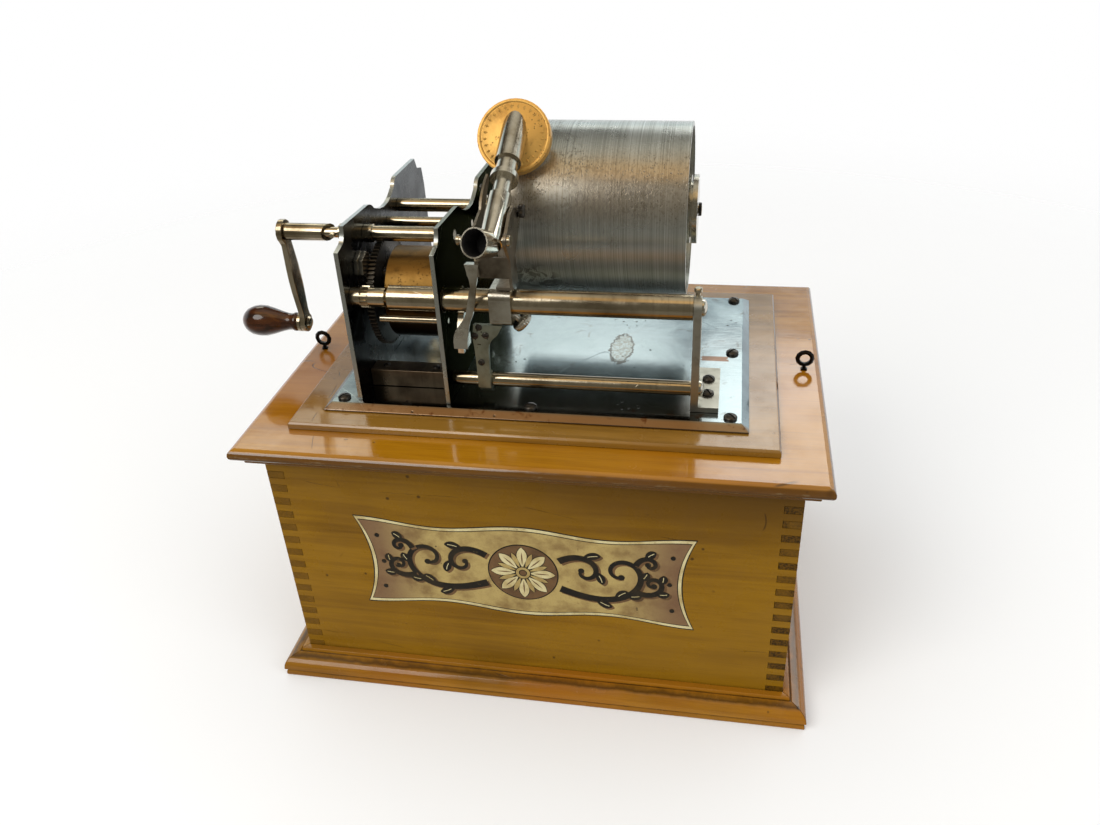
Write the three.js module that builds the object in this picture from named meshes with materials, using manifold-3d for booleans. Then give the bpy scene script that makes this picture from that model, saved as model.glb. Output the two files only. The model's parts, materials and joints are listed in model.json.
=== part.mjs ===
// A cylinder phonograph: a comb-jointed wooden case with a moulded plinth and lid, a steel bedplate,
// a spring motor between two steel plates, a gear train, a large mandrel, and a carriage on a slotted
// tube that carries the sound tube and the reproducer.
// Millimetres. X to the right, Y to the rear, Z up. The origin is the centre of the case's underside.

import * as THREE from 'three';
import { mergeVertices } from 'three/addons/utils/BufferGeometryUtils.js';
import Module from 'manifold-3d';

const wasm = await Module();
wasm.setup();

// Driving dimensions of the case.
const GAP = 0.3;
const CASE_HALF_X = 182.2;
const CASE_HALF_Y = 130;
const FLOOR = 9;
const BOARD = 12;
const BOARD_TOP = 198.9;
const FINGERS = 33;
const PLINTH_OUT = 17;
const PLINTH_TOP = 19.3;
const LID_TOP = 214.5;
const LID_NOSE = 8.3;
const LID_HALF_X = 198.2;
const LID_HALF_Y = 147.8;
const PAD_TOP = 219.9;
const BED = 225;

// The frame plates, which stand on the bedplate. Heights in this block are above the bedplate.
const PLATE = 3;
const LEFT_INNER = -119.4;
const LEFT_OUTER = LEFT_INNER - PLATE;
const RIGHT_OUTER = -55.7;
const RIGHT_INNER = RIGHT_OUTER - PLATE;
const BRACKET_X = 107;
const BRACKET_THICK = 5;

// Axes that run left to right, as [y, height above the bedplate].
const WINDING = [-40, 103.5];
const BARREL = [-36.2, 59.6];
const MANDREL = [32, 98];
const FEED = [-78, 73.7];
const LOWER_ROD = [-76, 13.7];
const TOP_PILLAR = [5, 95];
const REAR_PILLAR = [80, 60];
const STAY = [-74, 56];
const CLICK_STUD = [-61, 89];
const ARM_PIVOT = [-92, 121];

// Gears: module in millimetres and numbers of teeth.
const GREAT_MODULE = 1;
const GREAT_TEETH = 75;
const GREAT_PINION_TEETH = 13;
const COARSE_MODULE = 1.5;
const WINDING_TEETH = 48;
const WINDING_PINION_TEETH = 10;
const MIDDLE_TEETH = 48;
const MIDDLE_PINION_TEETH = 9;
const GOVERNOR_MODULE = 1.2;
const GOVERNOR_WHEEL_TEETH = 24;
const GOVERNOR_PINION_TEETH = 8;
const BACKLASH = 0.1;

// Planes of the gears outside the left plate: the train lies nearest the plate.
const NEAR = [-125.6, -123];
const FAR = [-129.2, -126.4];

// The mandrel, the guide tube and the carriage.
const MANDREL_LEFT = -30;
const MANDREL_RIGHT = 98.5;
const MANDREL_RADIUS = 60.5;
const HUB_END = 103.8;
const TUBE_RADIUS = 8.25;
const CARRIAGE_X = -16;
const ARM_X = -17;
const ARM_SLOPE = THREE.MathUtils.degToRad(27);
const DISC_TILT = THREE.MathUtils.degToRad(32);
const DISC_RADIUS = 24.8;

// Finishes.
const metal = (color, roughness) => new THREE.MeshStandardMaterial({ color, roughness, metalness: 1 });
const plain = (color, roughness) => new THREE.MeshStandardMaterial({ color, roughness, metalness: 0 });
const caseWood = () => plain('#8a6524', 0.35);
const lidWood = () => plain('#a3601c', 0.3);
const gripWood = () => plain('#4a1c0c', 0.25);
const polishedSteel = () => metal('#b9b6ad', 0.25);
const blackSteel = () => metal('#2c2f33', 0.45);
const mandrelMetal = () => metal('#9aa1a3', 0.4);
const brass = () => metal('#c8924a', 0.35);
const mica = () => plain('#cfc9b8', 0.3);

// Solids that can be joined and cut.

function isFlat(a, b, c) {
  return a === b || b === c || c === a;
}

function signedVolume(position, index) {
  const corner = (i) => new THREE.Vector3().fromBufferAttribute(position, index[i]);
  let volume = 0;
  for (let i = 0; i < index.length; i += 3) {
    volume += corner(i).dot(corner(i + 1).cross(corner(i + 2)));
  }
  return volume / 6;
}

function solid(geometry) {
  const bare = geometry.clone();
  bare.deleteAttribute('normal');
  bare.deleteAttribute('uv');
  const merged = mergeVertices(bare);
  const faces = [];
  const source = merged.index.array;
  for (let i = 0; i < source.length; i += 3) {
    const [a, b, c] = source.slice(i, i + 3);
    if (!isFlat(a, b, c)) faces.push(a, b, c);
  }
  if (signedVolume(merged.attributes.position, faces) < 0) faces.reverse();
  return new wasm.Manifold(new wasm.Mesh({
    numProp: 3,
    vertProperties: new Float32Array(merged.attributes.position.array),
    triVerts: new Uint32Array(faces),
  }));
}

function geometryOf(body) {
  const mesh = body.getMesh();
  const geometry = new THREE.BufferGeometry();
  geometry.setAttribute('position', new THREE.BufferAttribute(mesh.vertProperties, 3));
  geometry.setIndex(new THREE.BufferAttribute(mesh.triVerts, 1));
  geometry.computeVertexNormals();
  return geometry;
}

const join = (...geometries) => geometries.map(solid).reduce((sum, next) => sum.add(next));
const less = (rest, next) => rest.subtract(next);
const cut = (body, ...geometries) => geometries.map(solid).reduce(less, body);

// Forms.

// A body turned about the X axis, from its [x, radius] profile.
function turned(profile, sides = 14) {
  const points = profile.map(([x, radius]) => new THREE.Vector2(radius, x));
  return new THREE.LatheGeometry(points, sides).rotateZ(-Math.PI / 2);
}

const rod = (x0, x1, radius, sides = 12) => turned([[x0, 0], [x0, radius], [x1, radius], [x1, 0]], sides);

function ring(x0, x1, inner, outer, sides = 12) {
  return turned([[x0, inner], [x0, outer], [x1, outer], [x1, inner], [x0, inner]], sides);
}

const moved = (geometry, x, y, z) => geometry.translate(x, y, z);

function box(x0, x1, y0, y1, z0, z1) {
  const block = new THREE.BoxGeometry(x1 - x0, y1 - y0, z1 - z0);
  return block.translate((x0 + x1) / 2, (y0 + y1) / 2, (z0 + z1) / 2);
}

const flat = (depth) => ({ depth, bevelEnabled: false, curveSegments: 5 });

// A Y-Z outline, given depth along X.
function across(shape, x0, x1) {
  const turn = new THREE.Matrix4().set(0, 0, 1, x0, 1, 0, 0, 0, 0, 1, 0, 0, 0, 0, 0, 1);
  return new THREE.ExtrudeGeometry(shape, flat(x1 - x0)).applyMatrix4(turn);
}

// An X-Z outline, given depth along Y.
function inward(shape, y0, y1) {
  const turn = new THREE.Matrix4().set(1, 0, 0, 0, 0, 0, -1, y1, 0, 1, 0, 0, 0, 0, 0, 1);
  return new THREE.ExtrudeGeometry(shape, flat(y1 - y0)).applyMatrix4(turn);
}

const outline = (points) => new THREE.Shape(points.map(([u, v]) => new THREE.Vector2(u, v)));

function hole(y, z, radius, sides = 8) {
  const points = [];
  const corner = radius / Math.cos(Math.PI / sides);
  for (let i = 0; i < sides; i++) {
    const angle = (2 * Math.PI * i) / sides;
    points.push(new THREE.Vector2(y + corner * Math.cos(angle), z + corner * Math.sin(angle)));
  }
  return new THREE.Path(points);
}

// A cone or a rod between two points.
function taper(a, b, narrow, wide, sides) {
  const along = b.clone().sub(a);
  const geometry = new THREE.CylinderGeometry(wide, narrow, along.length(), sides);
  const up = new THREE.Vector3(0, 1, 0);
  const turn = new THREE.Quaternion().setFromUnitVectors(up, along.normalize());
  const middle = a.clone().add(b).multiplyScalar(0.5);
  return geometry.applyQuaternion(turn).translate(...middle.toArray());
}

function bar(from, to, radius, sides = 14) {
  const [a, b] = [from, to].map((point) => new THREE.Vector3(...point));
  return taper(a, b, radius, radius, sides);
}

// A slab whose edge follows [inset, z] steps from its underside to its top.
function mouldedSlab(halfX, halfY, steps) {
  const position = [];
  const faces = [];
  for (const [inset, z] of steps) {
    const x = halfX - inset;
    const y = halfY - inset;
    position.push(-x, -y, z, x, -y, z, x, y, z, -x, y, z);
  }
  for (let level = 1; level < steps.length; level++) {
    for (let corner = 0; corner < 4; corner++) {
      const next = (corner + 1) % 4;
      const low = 4 * (level - 1);
      const high = 4 * level;
      faces.push(low + corner, low + next, high + next, low + corner, high + next, high + corner);
    }
  }
  const top = 4 * (steps.length - 1);
  faces.push(0, 2, 1, 0, 3, 2, top, top + 1, top + 2, top, top + 2, top + 3);
  const geometry = new THREE.BufferGeometry();
  geometry.setAttribute('position', new THREE.Float32BufferAttribute(position, 3));
  return geometry.setIndex(faces);
}

// Places.

const phonograph = new THREE.Group();

function placed(parent, x, y, z) {
  const group = new THREE.Group();
  group.position.set(x, y, z);
  parent.add(group);
  return group;
}

const onAxis = (parent, [y, height]) => placed(parent, 0, y, height);

function piece(parent, name, form, material) {
  const body = form.isBufferGeometry ? solid(form) : form;
  const mesh = new THREE.Mesh(geometryOf(body), material);
  mesh.name = name;
  parent.add(mesh);
  return mesh;
}

const woodwork = new THREE.Group();
phonograph.add(woodwork);
const works = placed(phonograph, 0, 0, BED);

// The wooden case.

// One board of the case with the fingers of its comb joints at both ends. Fingers of the board
// that come first in the joint stand at even places, those of its neighbour at odd ones. The
// lowest finger is half as high as the others.
function combBoard(half, first) {
  const height = BOARD_TOP - FLOOR - GAP;
  const pitch = height / (FINGERS - 0.5);
  const reach = (k) => ((k % 2 === 0) === first ? half : half - BOARD - GAP);
  const side = [];
  for (let k = 0; k < FINGERS; k++) {
    const own = reach(k) === half;
    const inset = own ? GAP / 2 : -GAP / 2;
    const low = k === 0 ? 0 : (k - 0.5) * pitch + inset;
    const high = k === FINGERS - 1 ? height : (k + 0.5) * pitch - inset;
    side.push([reach(k), low], [reach(k), high]);
  }
  const other = side.map(([x, z]) => [-x, z]).reverse();
  return outline([...side, ...other]);
}

function caseBoards() {
  const z = FLOOR + GAP;
  const front = inward(combBoard(CASE_HALF_X, false), -CASE_HALF_Y, BOARD - CASE_HALF_Y);
  const side = inward(combBoard(CASE_HALF_Y, true), -CASE_HALF_X, BOARD - CASE_HALF_X);
  const facing = { front: 0, right: 1, rear: 2, left: 3 };
  for (const [name, quarter] of Object.entries(facing)) {
    const board = (quarter % 2 === 0 ? front : side).clone();
    const mesh = piece(placed(woodwork, 0, 0, z), `${name}_board`, board, caseWood());
    mesh.rotation.z = (quarter * Math.PI) / 2;
  }
}

// One length of the plinth. Its outline is given as [outward, z], and its ends are mitred, so its
// half length grows with the distance outward.
function plinthLength(halfLength, offset) {
  const shape = new THREE.Shape();
  shape.moveTo(0, 0);
  shape.lineTo(PLINTH_OUT - 1, 0);
  shape.quadraticCurveTo(PLINTH_OUT - 0.4, 2.6, PLINTH_OUT - 1.8, 4.4);
  shape.lineTo(PLINTH_OUT - 1.8, 5.4);
  shape.lineTo(PLINTH_OUT, 6.4);
  shape.quadraticCurveTo(PLINTH_OUT - 0.2, 16.2, 6.4, 17);
  shape.lineTo(5.2, 16.2);
  shape.lineTo(4.6, PLINTH_TOP);
  shape.lineTo(0, PLINTH_TOP);
  const geometry = across(shape, -1, 1);
  const position = geometry.attributes.position;
  for (let i = 0; i < position.count; i++) {
    const outward = position.getY(i);
    position.setX(i, position.getX(i) * (halfLength + outward - GAP / 2));
    position.setY(i, -(offset + outward));
  }
  return geometry;
}

function plinth() {
  const [x, y] = [CASE_HALF_X + GAP, CASE_HALF_Y + GAP];
  const facing = { front: 0, right: 1, rear: 2, left: 3 };
  for (const [name, quarter] of Object.entries(facing)) {
    const geometry = quarter % 2 === 0 ? plinthLength(x, y) : plinthLength(y, x);
    const mesh = piece(woodwork, `plinth_${name}`, geometry, lidWood());
    mesh.rotation.z = (quarter * Math.PI) / 2;
  }
}

const EYE_X = 185.3;
const EYE_HEIGHT = 9;
const EYE_RADIUS = 5.1;

// The lid: a rounded nose all round, over a strip that is set back.
function lid() {
  const low = BOARD_TOP + GAP;
  const nose = LID_TOP - LID_NOSE;
  const steps = [
    [9.6, low], [7.4, low + 1.5], [7.4, nose], [1.5, nose + 0.2], [0.3, nose + 1.8],
    [0, nose + 3.8], [0.4, nose + 5.8], [1.8, nose + 7.4], [4.4, LID_TOP],
  ];
  const socket = (x) => box(x - 2, x + 2, -2, 2, LID_TOP - 12, LID_TOP + 1);
  const slab = solid(mouldedSlab(LID_HALF_X, LID_HALF_Y, steps));
  piece(woodwork, 'top_board', cut(slab, socket(-EYE_X), socket(EYE_X)), lidWood());
}

function screwEye(name, x) {
  const eye = new THREE.TorusGeometry(EYE_RADIUS, 1.7, 5, 12).rotateX(Math.PI / 2);
  const stem = bar([0, 0, -EYE_HEIGHT - 10], [0, 0, -EYE_RADIUS], 1.4, 6);
  const collar = bar([0, 0, -EYE_HEIGHT + GAP], [0, 0, -EYE_HEIGHT + 1.2], 2.4, 8);
  const group = placed(woodwork, x, 0, LID_TOP + EYE_HEIGHT);
  piece(group, name, join(eye, stem, collar), blackSteel());
}

function bedding() {
  const padLow = LID_TOP + GAP;
  const bedLow = PAD_TOP + GAP;
  const pad = mouldedSlab(166, 117, [[0, padLow], [0, PAD_TOP - 1.4], [1.4, PAD_TOP]]);
  const bed = mouldedSlab(145.8, 99.65, [[0, bedLow], [0, bedLow + 1], [5, BED]]);
  piece(woodwork, 'motor_pad', pad, lidWood());
  piece(woodwork, 'bedplate', bed, polishedSteel());
}

// The frame.

// The side plate's outline: notched upper corners and a scallop in its upper edge.
function plateShape() {
  const shape = new THREE.Shape();
  shape.moveTo(-91, GAP);
  shape.lineTo(97, GAP);
  shape.lineTo(97, 92);
  shape.lineTo(94.5, 106.5);
  shape.lineTo(84, 109.5);
  shape.lineTo(80, 118);
  shape.lineTo(36, 119);
  shape.quadraticCurveTo(30, 119, 27, 113);
  shape.quadraticCurveTo(7, 101, -17, 113);
  shape.quadraticCurveTo(-21, 118, -28, 119);
  shape.lineTo(-74.5, 121.5);
  shape.quadraticCurveTo(-75, 113, -80, 111);
  shape.lineTo(-89.5, 109);
  return shape;
}

function leftPlate() {
  const shape = plateShape();
  shape.holes.push(hole(...WINDING, 5.3, 12), hole(...MANDREL, 4.7), hole(...BARREL, 4.3));
  shape.holes.push(hole(...MIDDLE, 2.8), hole(...FEED, 3.3));
  shape.holes.push(hole(...GOVERNOR_DRIVE, 2.3), hole(...GOVERNOR, 1.9, 6));
  shape.holes.push(hole(...TOP_PILLAR, 2.7), hole(...REAR_PILLAR, 2.7), hole(...CLICK_STUD, 3.3));
  piece(works, 'left_frame_plate', across(shape, LEFT_OUTER, LEFT_INNER), blackSteel());
}

function rightPlate() {
  const shape = plateShape();
  shape.holes.push(hole(...WINDING, 3.8), hole(...MANDREL, 4.7), hole(...BARREL, 4.3));
  shape.holes.push(hole(...MIDDLE, 2.8), hole(...GOVERNOR_DRIVE, 2.3), hole(...GOVERNOR, 1.9, 6));
  shape.holes.push(hole(...FEED, TUBE_RADIUS + 0.6, 20), hole(...LOWER_ROD, 3.3), hole(...STAY, 2.1));
  shape.holes.push(hole(...TOP_PILLAR, 2.7), hole(...REAR_PILLAR, 2.7));
  piece(works, 'right_frame_plate', across(shape, RIGHT_INNER, RIGHT_OUTER), blackSteel());
}

function pillar(name, axis, radius) {
  const [left, right] = [LEFT_INNER + GAP, RIGHT_INNER - GAP];
  const profile = [
    [LEFT_OUTER, 0], [LEFT_OUTER, 2.4], [left, 2.4], [left, radius],
    [right, radius], [right, 2.4], [RIGHT_OUTER, 2.4], [RIGHT_OUTER, 0],
  ];
  piece(onAxis(works, axis), name, turned(profile), polishedSteel());
}

function footBar(name, y) {
  const [left, right] = [LEFT_INNER + GAP, RIGHT_INNER - GAP];
  piece(works, name, box(left, right, y - 7, y + 7, GAP, 13), blackSteel());
}

function stayRod() {
  const right = RIGHT_INNER - GAP;
  const profile = [
    [-104, 0], [-104, 2.1], [-103.4, 2.6], [right, 2.6], [right, 1.8],
    [RIGHT_OUTER, 1.8], [RIGHT_OUTER, 0],
  ];
  piece(onAxis(works, STAY), 'lower_stay_rod', turned(profile, 12), polishedSteel());
}

function lowerRod() {
  const left = RIGHT_OUTER + GAP;
  const right = BRACKET_X - GAP;
  const end = BRACKET_X + BRACKET_THICK;
  const profile = [
    [RIGHT_INNER, 0], [RIGHT_INNER, 3], [left, 3], [left, 5],
    [right, 5], [right, 3], [end, 3], [end, 0],
  ];
  piece(onAxis(works, LOWER_ROD), 'lower_guide_rod', turned(profile), polishedSteel());
}

const SLOT_HALF = 2.6;
const SLOT_ANGLE = THREE.MathUtils.degToRad(-27.5);

// The tube that guides the carriage. A slot low on its rear side lets the half nut reach the screw.
function guideTube() {
  const [left, right] = [-93, BRACKET_X - GAP];
  const inner = 5.7;
  const profile = [
    [left, inner], [left, TUBE_RADIUS],
    [right, TUBE_RADIUS], [right, inner], [left, inner],
  ];
  const slot = box(-54.5, 90, 1, TUBE_RADIUS + 2, -SLOT_HALF, SLOT_HALF).rotateX(SLOT_ANGLE);
  piece(onAxis(works, FEED), 'guide_tube', cut(solid(turned(profile, 28)), slot), polishedSteel());
}

// The bracket that holds the right ends of the guide tube, the feed screw and the lower rod.
function endBracket() {
  const [y, z] = FEED;
  const eye = 7.5;
  const shape = new THREE.Shape();
  shape.moveTo(-84, GAP);
  shape.lineTo(-56, GAP);
  shape.lineTo(-56, 4);
  shape.quadraticCurveTo(-66, 8, -67.5, 30);
  shape.lineTo(y + eye, z);
  shape.absarc(y, z, eye, 0, Math.PI, false);
  shape.lineTo(-84, GAP);
  shape.holes.push(hole(y, z, 2.9), hole(...LOWER_ROD, 3.3));
  const upright = across(shape, BRACKET_X, BRACKET_X + BRACKET_THICK);
  const foot = box(BRACKET_X + 0.01, 125.5, -84, -30, GAP, 4);
  piece(works, 'end_bracket', join(upright, foot), polishedSteel());
}

// Gears.

// The straight-sided teeth of a spur gear, a tooth centred on the given angle.
function gearShape(teeth, module, phase) {
  const pitch = (2 * Math.PI) / teeth;
  const pitchRadius = (teeth * module) / 2;
  const root = pitchRadius - 1.2 * module;
  const tip = pitchRadius + 0.85 * module;
  const corners = [[root, -0.3], [tip, -0.11], [tip, 0.11], [root, 0.3]];
  const points = [];
  for (let i = 0; i < teeth; i++) {
    for (const [radius, share] of corners) {
      const angle = phase + (i + share) * pitch;
      points.push(new THREE.Vector2(radius * Math.cos(angle), radius * Math.sin(angle)));
    }
  }
  return new THREE.Shape(points);
}

// Windows between the spokes of a wheel.
function windows(count, inner, outer, spoke) {
  const paths = [];
  for (let i = 0; i < count; i++) {
    const middle = (2 * Math.PI * (i + 0.5)) / count;
    const inside = Math.PI / count - spoke / inner;
    const outside = Math.PI / count - spoke / outer;
    const path = new THREE.Path();
    path.absarc(0, 0, outer, middle - outside, middle + outside, false);
    path.absarc(0, 0, inner, middle + inside, middle - inside, true);
    paths.push(new THREE.Path(path.getPoints(3).slice(0, -1)));
  }
  return paths;
}

const angleTo = ([y0, z0], [y1, z1]) => Math.atan2(z1 - z0, y1 - y0);

// The phase that puts a tooth gap of the driven gear where the driver has a tooth.
function meshPhase(direction, driverTeeth, driverPhase, drivenTeeth) {
  const along = ((direction - driverPhase) * driverTeeth) / (2 * Math.PI);
  const share = 0.5 - (along - Math.floor(along));
  return direction + Math.PI - (share * 2 * Math.PI) / drivenTeeth;
}

// The point at given distances from two others, below the line that joins them.
function meetingPoint([ay, az], fromA, [by, bz], fromB) {
  const span = Math.hypot(by - ay, bz - az);
  const [uy, uz] = [(by - ay) / span, (bz - az) / span];
  const along = (fromA ** 2 - fromB ** 2 + span ** 2) / (2 * span);
  const aside = Math.sqrt(fromA ** 2 - along ** 2);
  return [ay + uy * along + uz * aside, az + uz * along - uy * aside];
}

const centres = (teethA, teethB, module) => ((teethA + teethB) * module) / 2 + BACKLASH;

const middleReach = centres(MIDDLE_TEETH, MIDDLE_PINION_TEETH, COARSE_MODULE);
const governorReach = centres(GOVERNOR_WHEEL_TEETH, GOVERNOR_PINION_TEETH, GOVERNOR_MODULE);
const greatReach = centres(GREAT_TEETH, GREAT_PINION_TEETH, GREAT_MODULE);

function reached([y, z], distance, angle) {
  return [y + distance * Math.cos(angle), z + distance * Math.sin(angle)];
}

const MIDDLE = meetingPoint(BARREL, greatReach, MANDREL, middleReach);
const GOVERNOR_DRIVE = reached(MIDDLE, middleReach, -Math.PI / 6);
const GOVERNOR = reached(GOVERNOR_DRIVE, governorReach, (-3 * Math.PI) / 4);

// Each driven gear's phase follows from its driver's; the wheels themselves start at zero.
const greatPinionPhase = (axis) => meshPhase(angleTo(BARREL, axis), GREAT_TEETH, 0, GREAT_PINION_TEETH);
const middlePinionPhase = (axis) => meshPhase(angleTo(MIDDLE, axis), MIDDLE_TEETH, 0, MIDDLE_PINION_TEETH);
const windingPhase = meshPhase(angleTo(BARREL, WINDING), WINDING_TEETH, 0, WINDING_PINION_TEETH);
const governorPhase = meshPhase(
  angleTo(GOVERNOR_DRIVE, GOVERNOR), GOVERNOR_WHEEL_TEETH, 0, GOVERNOR_PINION_TEETH,
);

function pinion(teeth, module, phase, x0, x1, bore = 0) {
  const shape = gearShape(teeth, module, phase);
  if (bore) shape.holes.push(hole(0, 0, bore));
  return across(shape, x0, x1);
}

function spokedWheel(teeth, module, phase, x0, x1, bore) {
  const shape = gearShape(teeth, module, phase);
  const rim = (teeth * module) / 2 - 5;
  shape.holes.push(hole(0, 0, bore), ...windows(5, 10, rim, 2.2));
  return across(shape, x0, x1);
}

// Winding.

const CRANK_PIVOT_DROP = [6, -73.5];
const ARM_LEFT = -181.5;
const ARM_RIGHT = -177.3;

function windingShaft(group) {
  const shaft = turned([
    [-172, 0], [-172, 3.7], [-136.8, 3.7], [-136.8, 6.3], [-129.5, 6.3], [-129.5, 3.7],
    [-122.7, 3.7], [-122.7, 5], [LEFT_INNER + GAP, 5], [LEFT_INNER + GAP, 6.3], [-113.2, 6.3],
    [-112.6, 5.25], [RIGHT_INNER - GAP, 5.25], [RIGHT_INNER - GAP, 3.5], [RIGHT_OUTER, 3.5],
    [RIGHT_OUTER, 0],
  ], 14);
  const crossPin = bar([-141, -7.5, 0], [-141, 7.5, 0], 1.75, 8);
  piece(group, 'winding_shaft', join(shaft, crossPin), polishedSteel());
}

// The winding pinion and the ratchet behind it are one cluster on the shaft.
function windingPinion(group) {
  const teeth = 12;
  const points = [];
  for (let i = 0; i < teeth; i++) {
    const start = (2 * Math.PI * i) / teeth;
    const end = (2 * Math.PI * (i + 0.92)) / teeth;
    points.push([7 * Math.cos(start), 7 * Math.sin(start)], [9 * Math.cos(end), 9 * Math.sin(end)]);
  }
  const ratchet = outline(points);
  ratchet.holes.push(hole(0, 0, 4));
  const gear = gearShape(WINDING_PINION_TEETH, COARSE_MODULE, windingPhase);
  gear.holes.push(hole(0, 0, 4));
  const wheels = join(across(gear, FAR[0], FAR[1] + 0.5), across(ratchet, NEAR[0] - 0.4, NEAR[1]));
  piece(group, 'winding_pinion', wheels, polishedSteel());
}

function crankSleeve(group) {
  const profile = [
    [ARM_LEFT - 1, 4.1], [ARM_LEFT - 1, 5], [ARM_RIGHT + GAP, 5], [ARM_RIGHT + GAP, 6],
    [-143.2, 6], [-143.2, 4.1], [ARM_LEFT - 1, 4.1],
  ];
  const slant = box(0, 10, -10, 10, -20, 20).rotateZ(-0.5).translate(-146, 0, 0);
  const slanted = cut(solid(turned(profile)), slant);
  piece(group, 'crank_sleeve', slanted, polishedSteel());
}

// The crank arm: an eye at each end and a swelling between them.
function crankArm(group) {
  const [dy, dz] = CRANK_PIVOT_DROP;
  const length = Math.hypot(dy, dz);
  const half = (s) => 4 + 2.6 * Math.sin(Math.PI * s) ** 2;
  const side = [];
  for (let i = 1; i <= 7; i++) side.push([half(i / 8), -length * (i / 8)]);
  const shape = new THREE.Shape();
  shape.absarc(0, 0, 8.5, -0.25 * Math.PI, 1.25 * Math.PI, false);
  for (const [w, z] of side) shape.lineTo(-w, z);
  shape.absarc(0, -length, 7, 0.75 * Math.PI, 0.25 * Math.PI + 2 * Math.PI, false);
  for (const [w, z] of side.slice().reverse()) shape.lineTo(w, z);
  shape.holes.push(hole(0, 0, 5.3, 12), hole(0, -length, 2.6));
  const mesh = piece(group, 'crank_arm', across(shape, ARM_LEFT, ARM_RIGHT), polishedSteel());
  mesh.rotation.x = Math.atan2(dy, -dz);
}

function gripSpindle(group) {
  const profile = [
    [-222, 0], [-222, 2.2], [-184, 2.2], [-184, 7], [ARM_LEFT - GAP, 7], [ARM_LEFT - GAP, 2.2],
    [ARM_RIGHT + GAP, 2.2], [ARM_RIGHT + GAP, 4.6], [-175.4, 3.4], [-175, 0],
  ];
  piece(onAxis(group, CRANK_PIVOT_DROP), 'grip_spindle', turned(profile, 16), polishedSteel());
}

// The pear-shaped grip, bored for its spindle.
function grip(group) {
  const outer = new THREE.SplineCurve([
    [-184.4, 6.2], [-187, 7.2], [-190.5, 6], [-199, 8], [-209, 11.2], [-218, 11.4],
    [-225, 8.4], [-228.6, 3.4],
  ].map(([x, r]) => new THREE.Vector2(x, r)));
  const bore = [[-223, 0], [-223, 2.6], [-184.4, 2.6]];
  const profile = [...bore, ...outer.getPoints(12).map(({ x, y }) => [x, y]), [-229.2, 0]];
  piece(onAxis(group, CRANK_PIVOT_DROP), 'grip', turned(profile, 16), gripWood());
}

function clickStud() {
  const corners = [0, 1, 2, 3, 4, 5].map((i) => (Math.PI * i) / 3 + 0.35);
  const hex = outline(corners.map((angle) => [9.6 * Math.cos(angle), 9.6 * Math.sin(angle)]));
  const stud = turned([
    [-126.1, 0], [-126.1, 4.4], [-125.5, 4.4], [-125.5, 3], [-112.9, 3], [-112.9, 0],
  ], 16);
  const neck = rod(-116.4, -115.6, 7.6, 16);
  const nuts = [across(hex, LEFT_INNER + GAP, -116.3), across(hex, -115.7, -112.7)];
  piece(onAxis(works, CLICK_STUD), 'click_stud', join(stud, neck, ...nuts), polishedSteel());
}

// The click reaches from its stud to just clear of the ratchet's tooth tips.
function click() {
  const reach = Math.hypot(WINDING[0] - CLICK_STUD[0], WINDING[1] - CLICK_STUD[1]) - 9.4;
  const shape = new THREE.Shape();
  shape.absarc(0, 0, 5.6, 0.3 * Math.PI, 1.9 * Math.PI, false);
  shape.lineTo(reach, -2.2);
  shape.lineTo(reach, 0.4);
  shape.lineTo(reach - 4, 2.6);
  shape.holes.push(hole(0, 0, 3.4));
  const mesh = piece(onAxis(works, CLICK_STUD), 'click', across(shape, -125.2, NEAR[1]), polishedSteel());
  mesh.rotation.x = angleTo(CLICK_STUD, WINDING);
}

// The spring motor.

function barrelArbor(group) {
  const profile = [
    [-132.4, 0], [-132.4, 6], [-129.5, 6], [-129.5, 4], [RIGHT_OUTER, 4], [RIGHT_OUTER, 0],
  ];
  piece(group, 'barrel_arbor', turned(profile, 16), polishedSteel());
}

function windingWheel(group) {
  const wheel = pinion(WINDING_TEETH, COARSE_MODULE, 0, ...FAR, 4.3);
  piece(group, 'winding_wheel', wheel, polishedSteel());
}

const DRUM_RADIUS = 31.6;
const DRUM_LEFT = -101.5;
const DRUM_RIGHT = -60.5;

function springBarrel(group) {
  const [outer, inner] = [DRUM_RADIUS, DRUM_RADIUS - 1.8];
  const profile = [
    [DRUM_LEFT, inner], [DRUM_LEFT, outer], [DRUM_RIGHT, outer], [DRUM_RIGHT, 4.3],
    [DRUM_RIGHT - 2.4, 4.3], [DRUM_RIGHT - 2.4, inner], [DRUM_LEFT, inner],
  ];
  piece(group, 'spring_barrel', turned(profile, 40), brass());
}

// The great wheel and the barrel's cover share one hub. A stud stands on the cover.
function greatWheel(group) {
  const gear = gearShape(GREAT_TEETH, GREAT_MODULE, 0);
  gear.holes.push(hole(0, 0, 4.3));
  const cover = turned([
    [-107.6, 4.6], [-107.6, 9], [-101.2, 9], [-101.2, DRUM_RADIUS - 2.1],
    [-99.2, DRUM_RADIUS - 2.1], [-99.2, 4.6], [-107.6, 4.6],
  ], 24);
  const stud = rod(-106.6, -101, 3.3, 12).translate(0, -13, 17.5);
  piece(group, 'great_wheel', join(across(gear, -112, -107.5), cover, stud), polishedSteel());
}

// The mainspring: a flat strip wound in a spiral, as wide as the barrel inside.
function mainspring(group) {
  const turns = 5;
  const steps = 60;
  const [start, end, strip] = [5.4, DRUM_RADIUS - 3.2, 0.9];
  const edge = (offset) => (_, i) => {
    const angle = (2 * Math.PI * turns * i) / steps;
    const radius = start + ((end - start) * i) / steps + offset;
    return [radius * Math.cos(angle), radius * Math.sin(angle)];
  };
  const places = Array.from({ length: steps + 1 });
  const points = [...places.map(edge(0)), ...places.map(edge(strip)).reverse()];
  piece(group, 'mainspring', across(outline(points), -98.6, DRUM_RIGHT - 2.8), blackSteel());
}

// The train.

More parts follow.
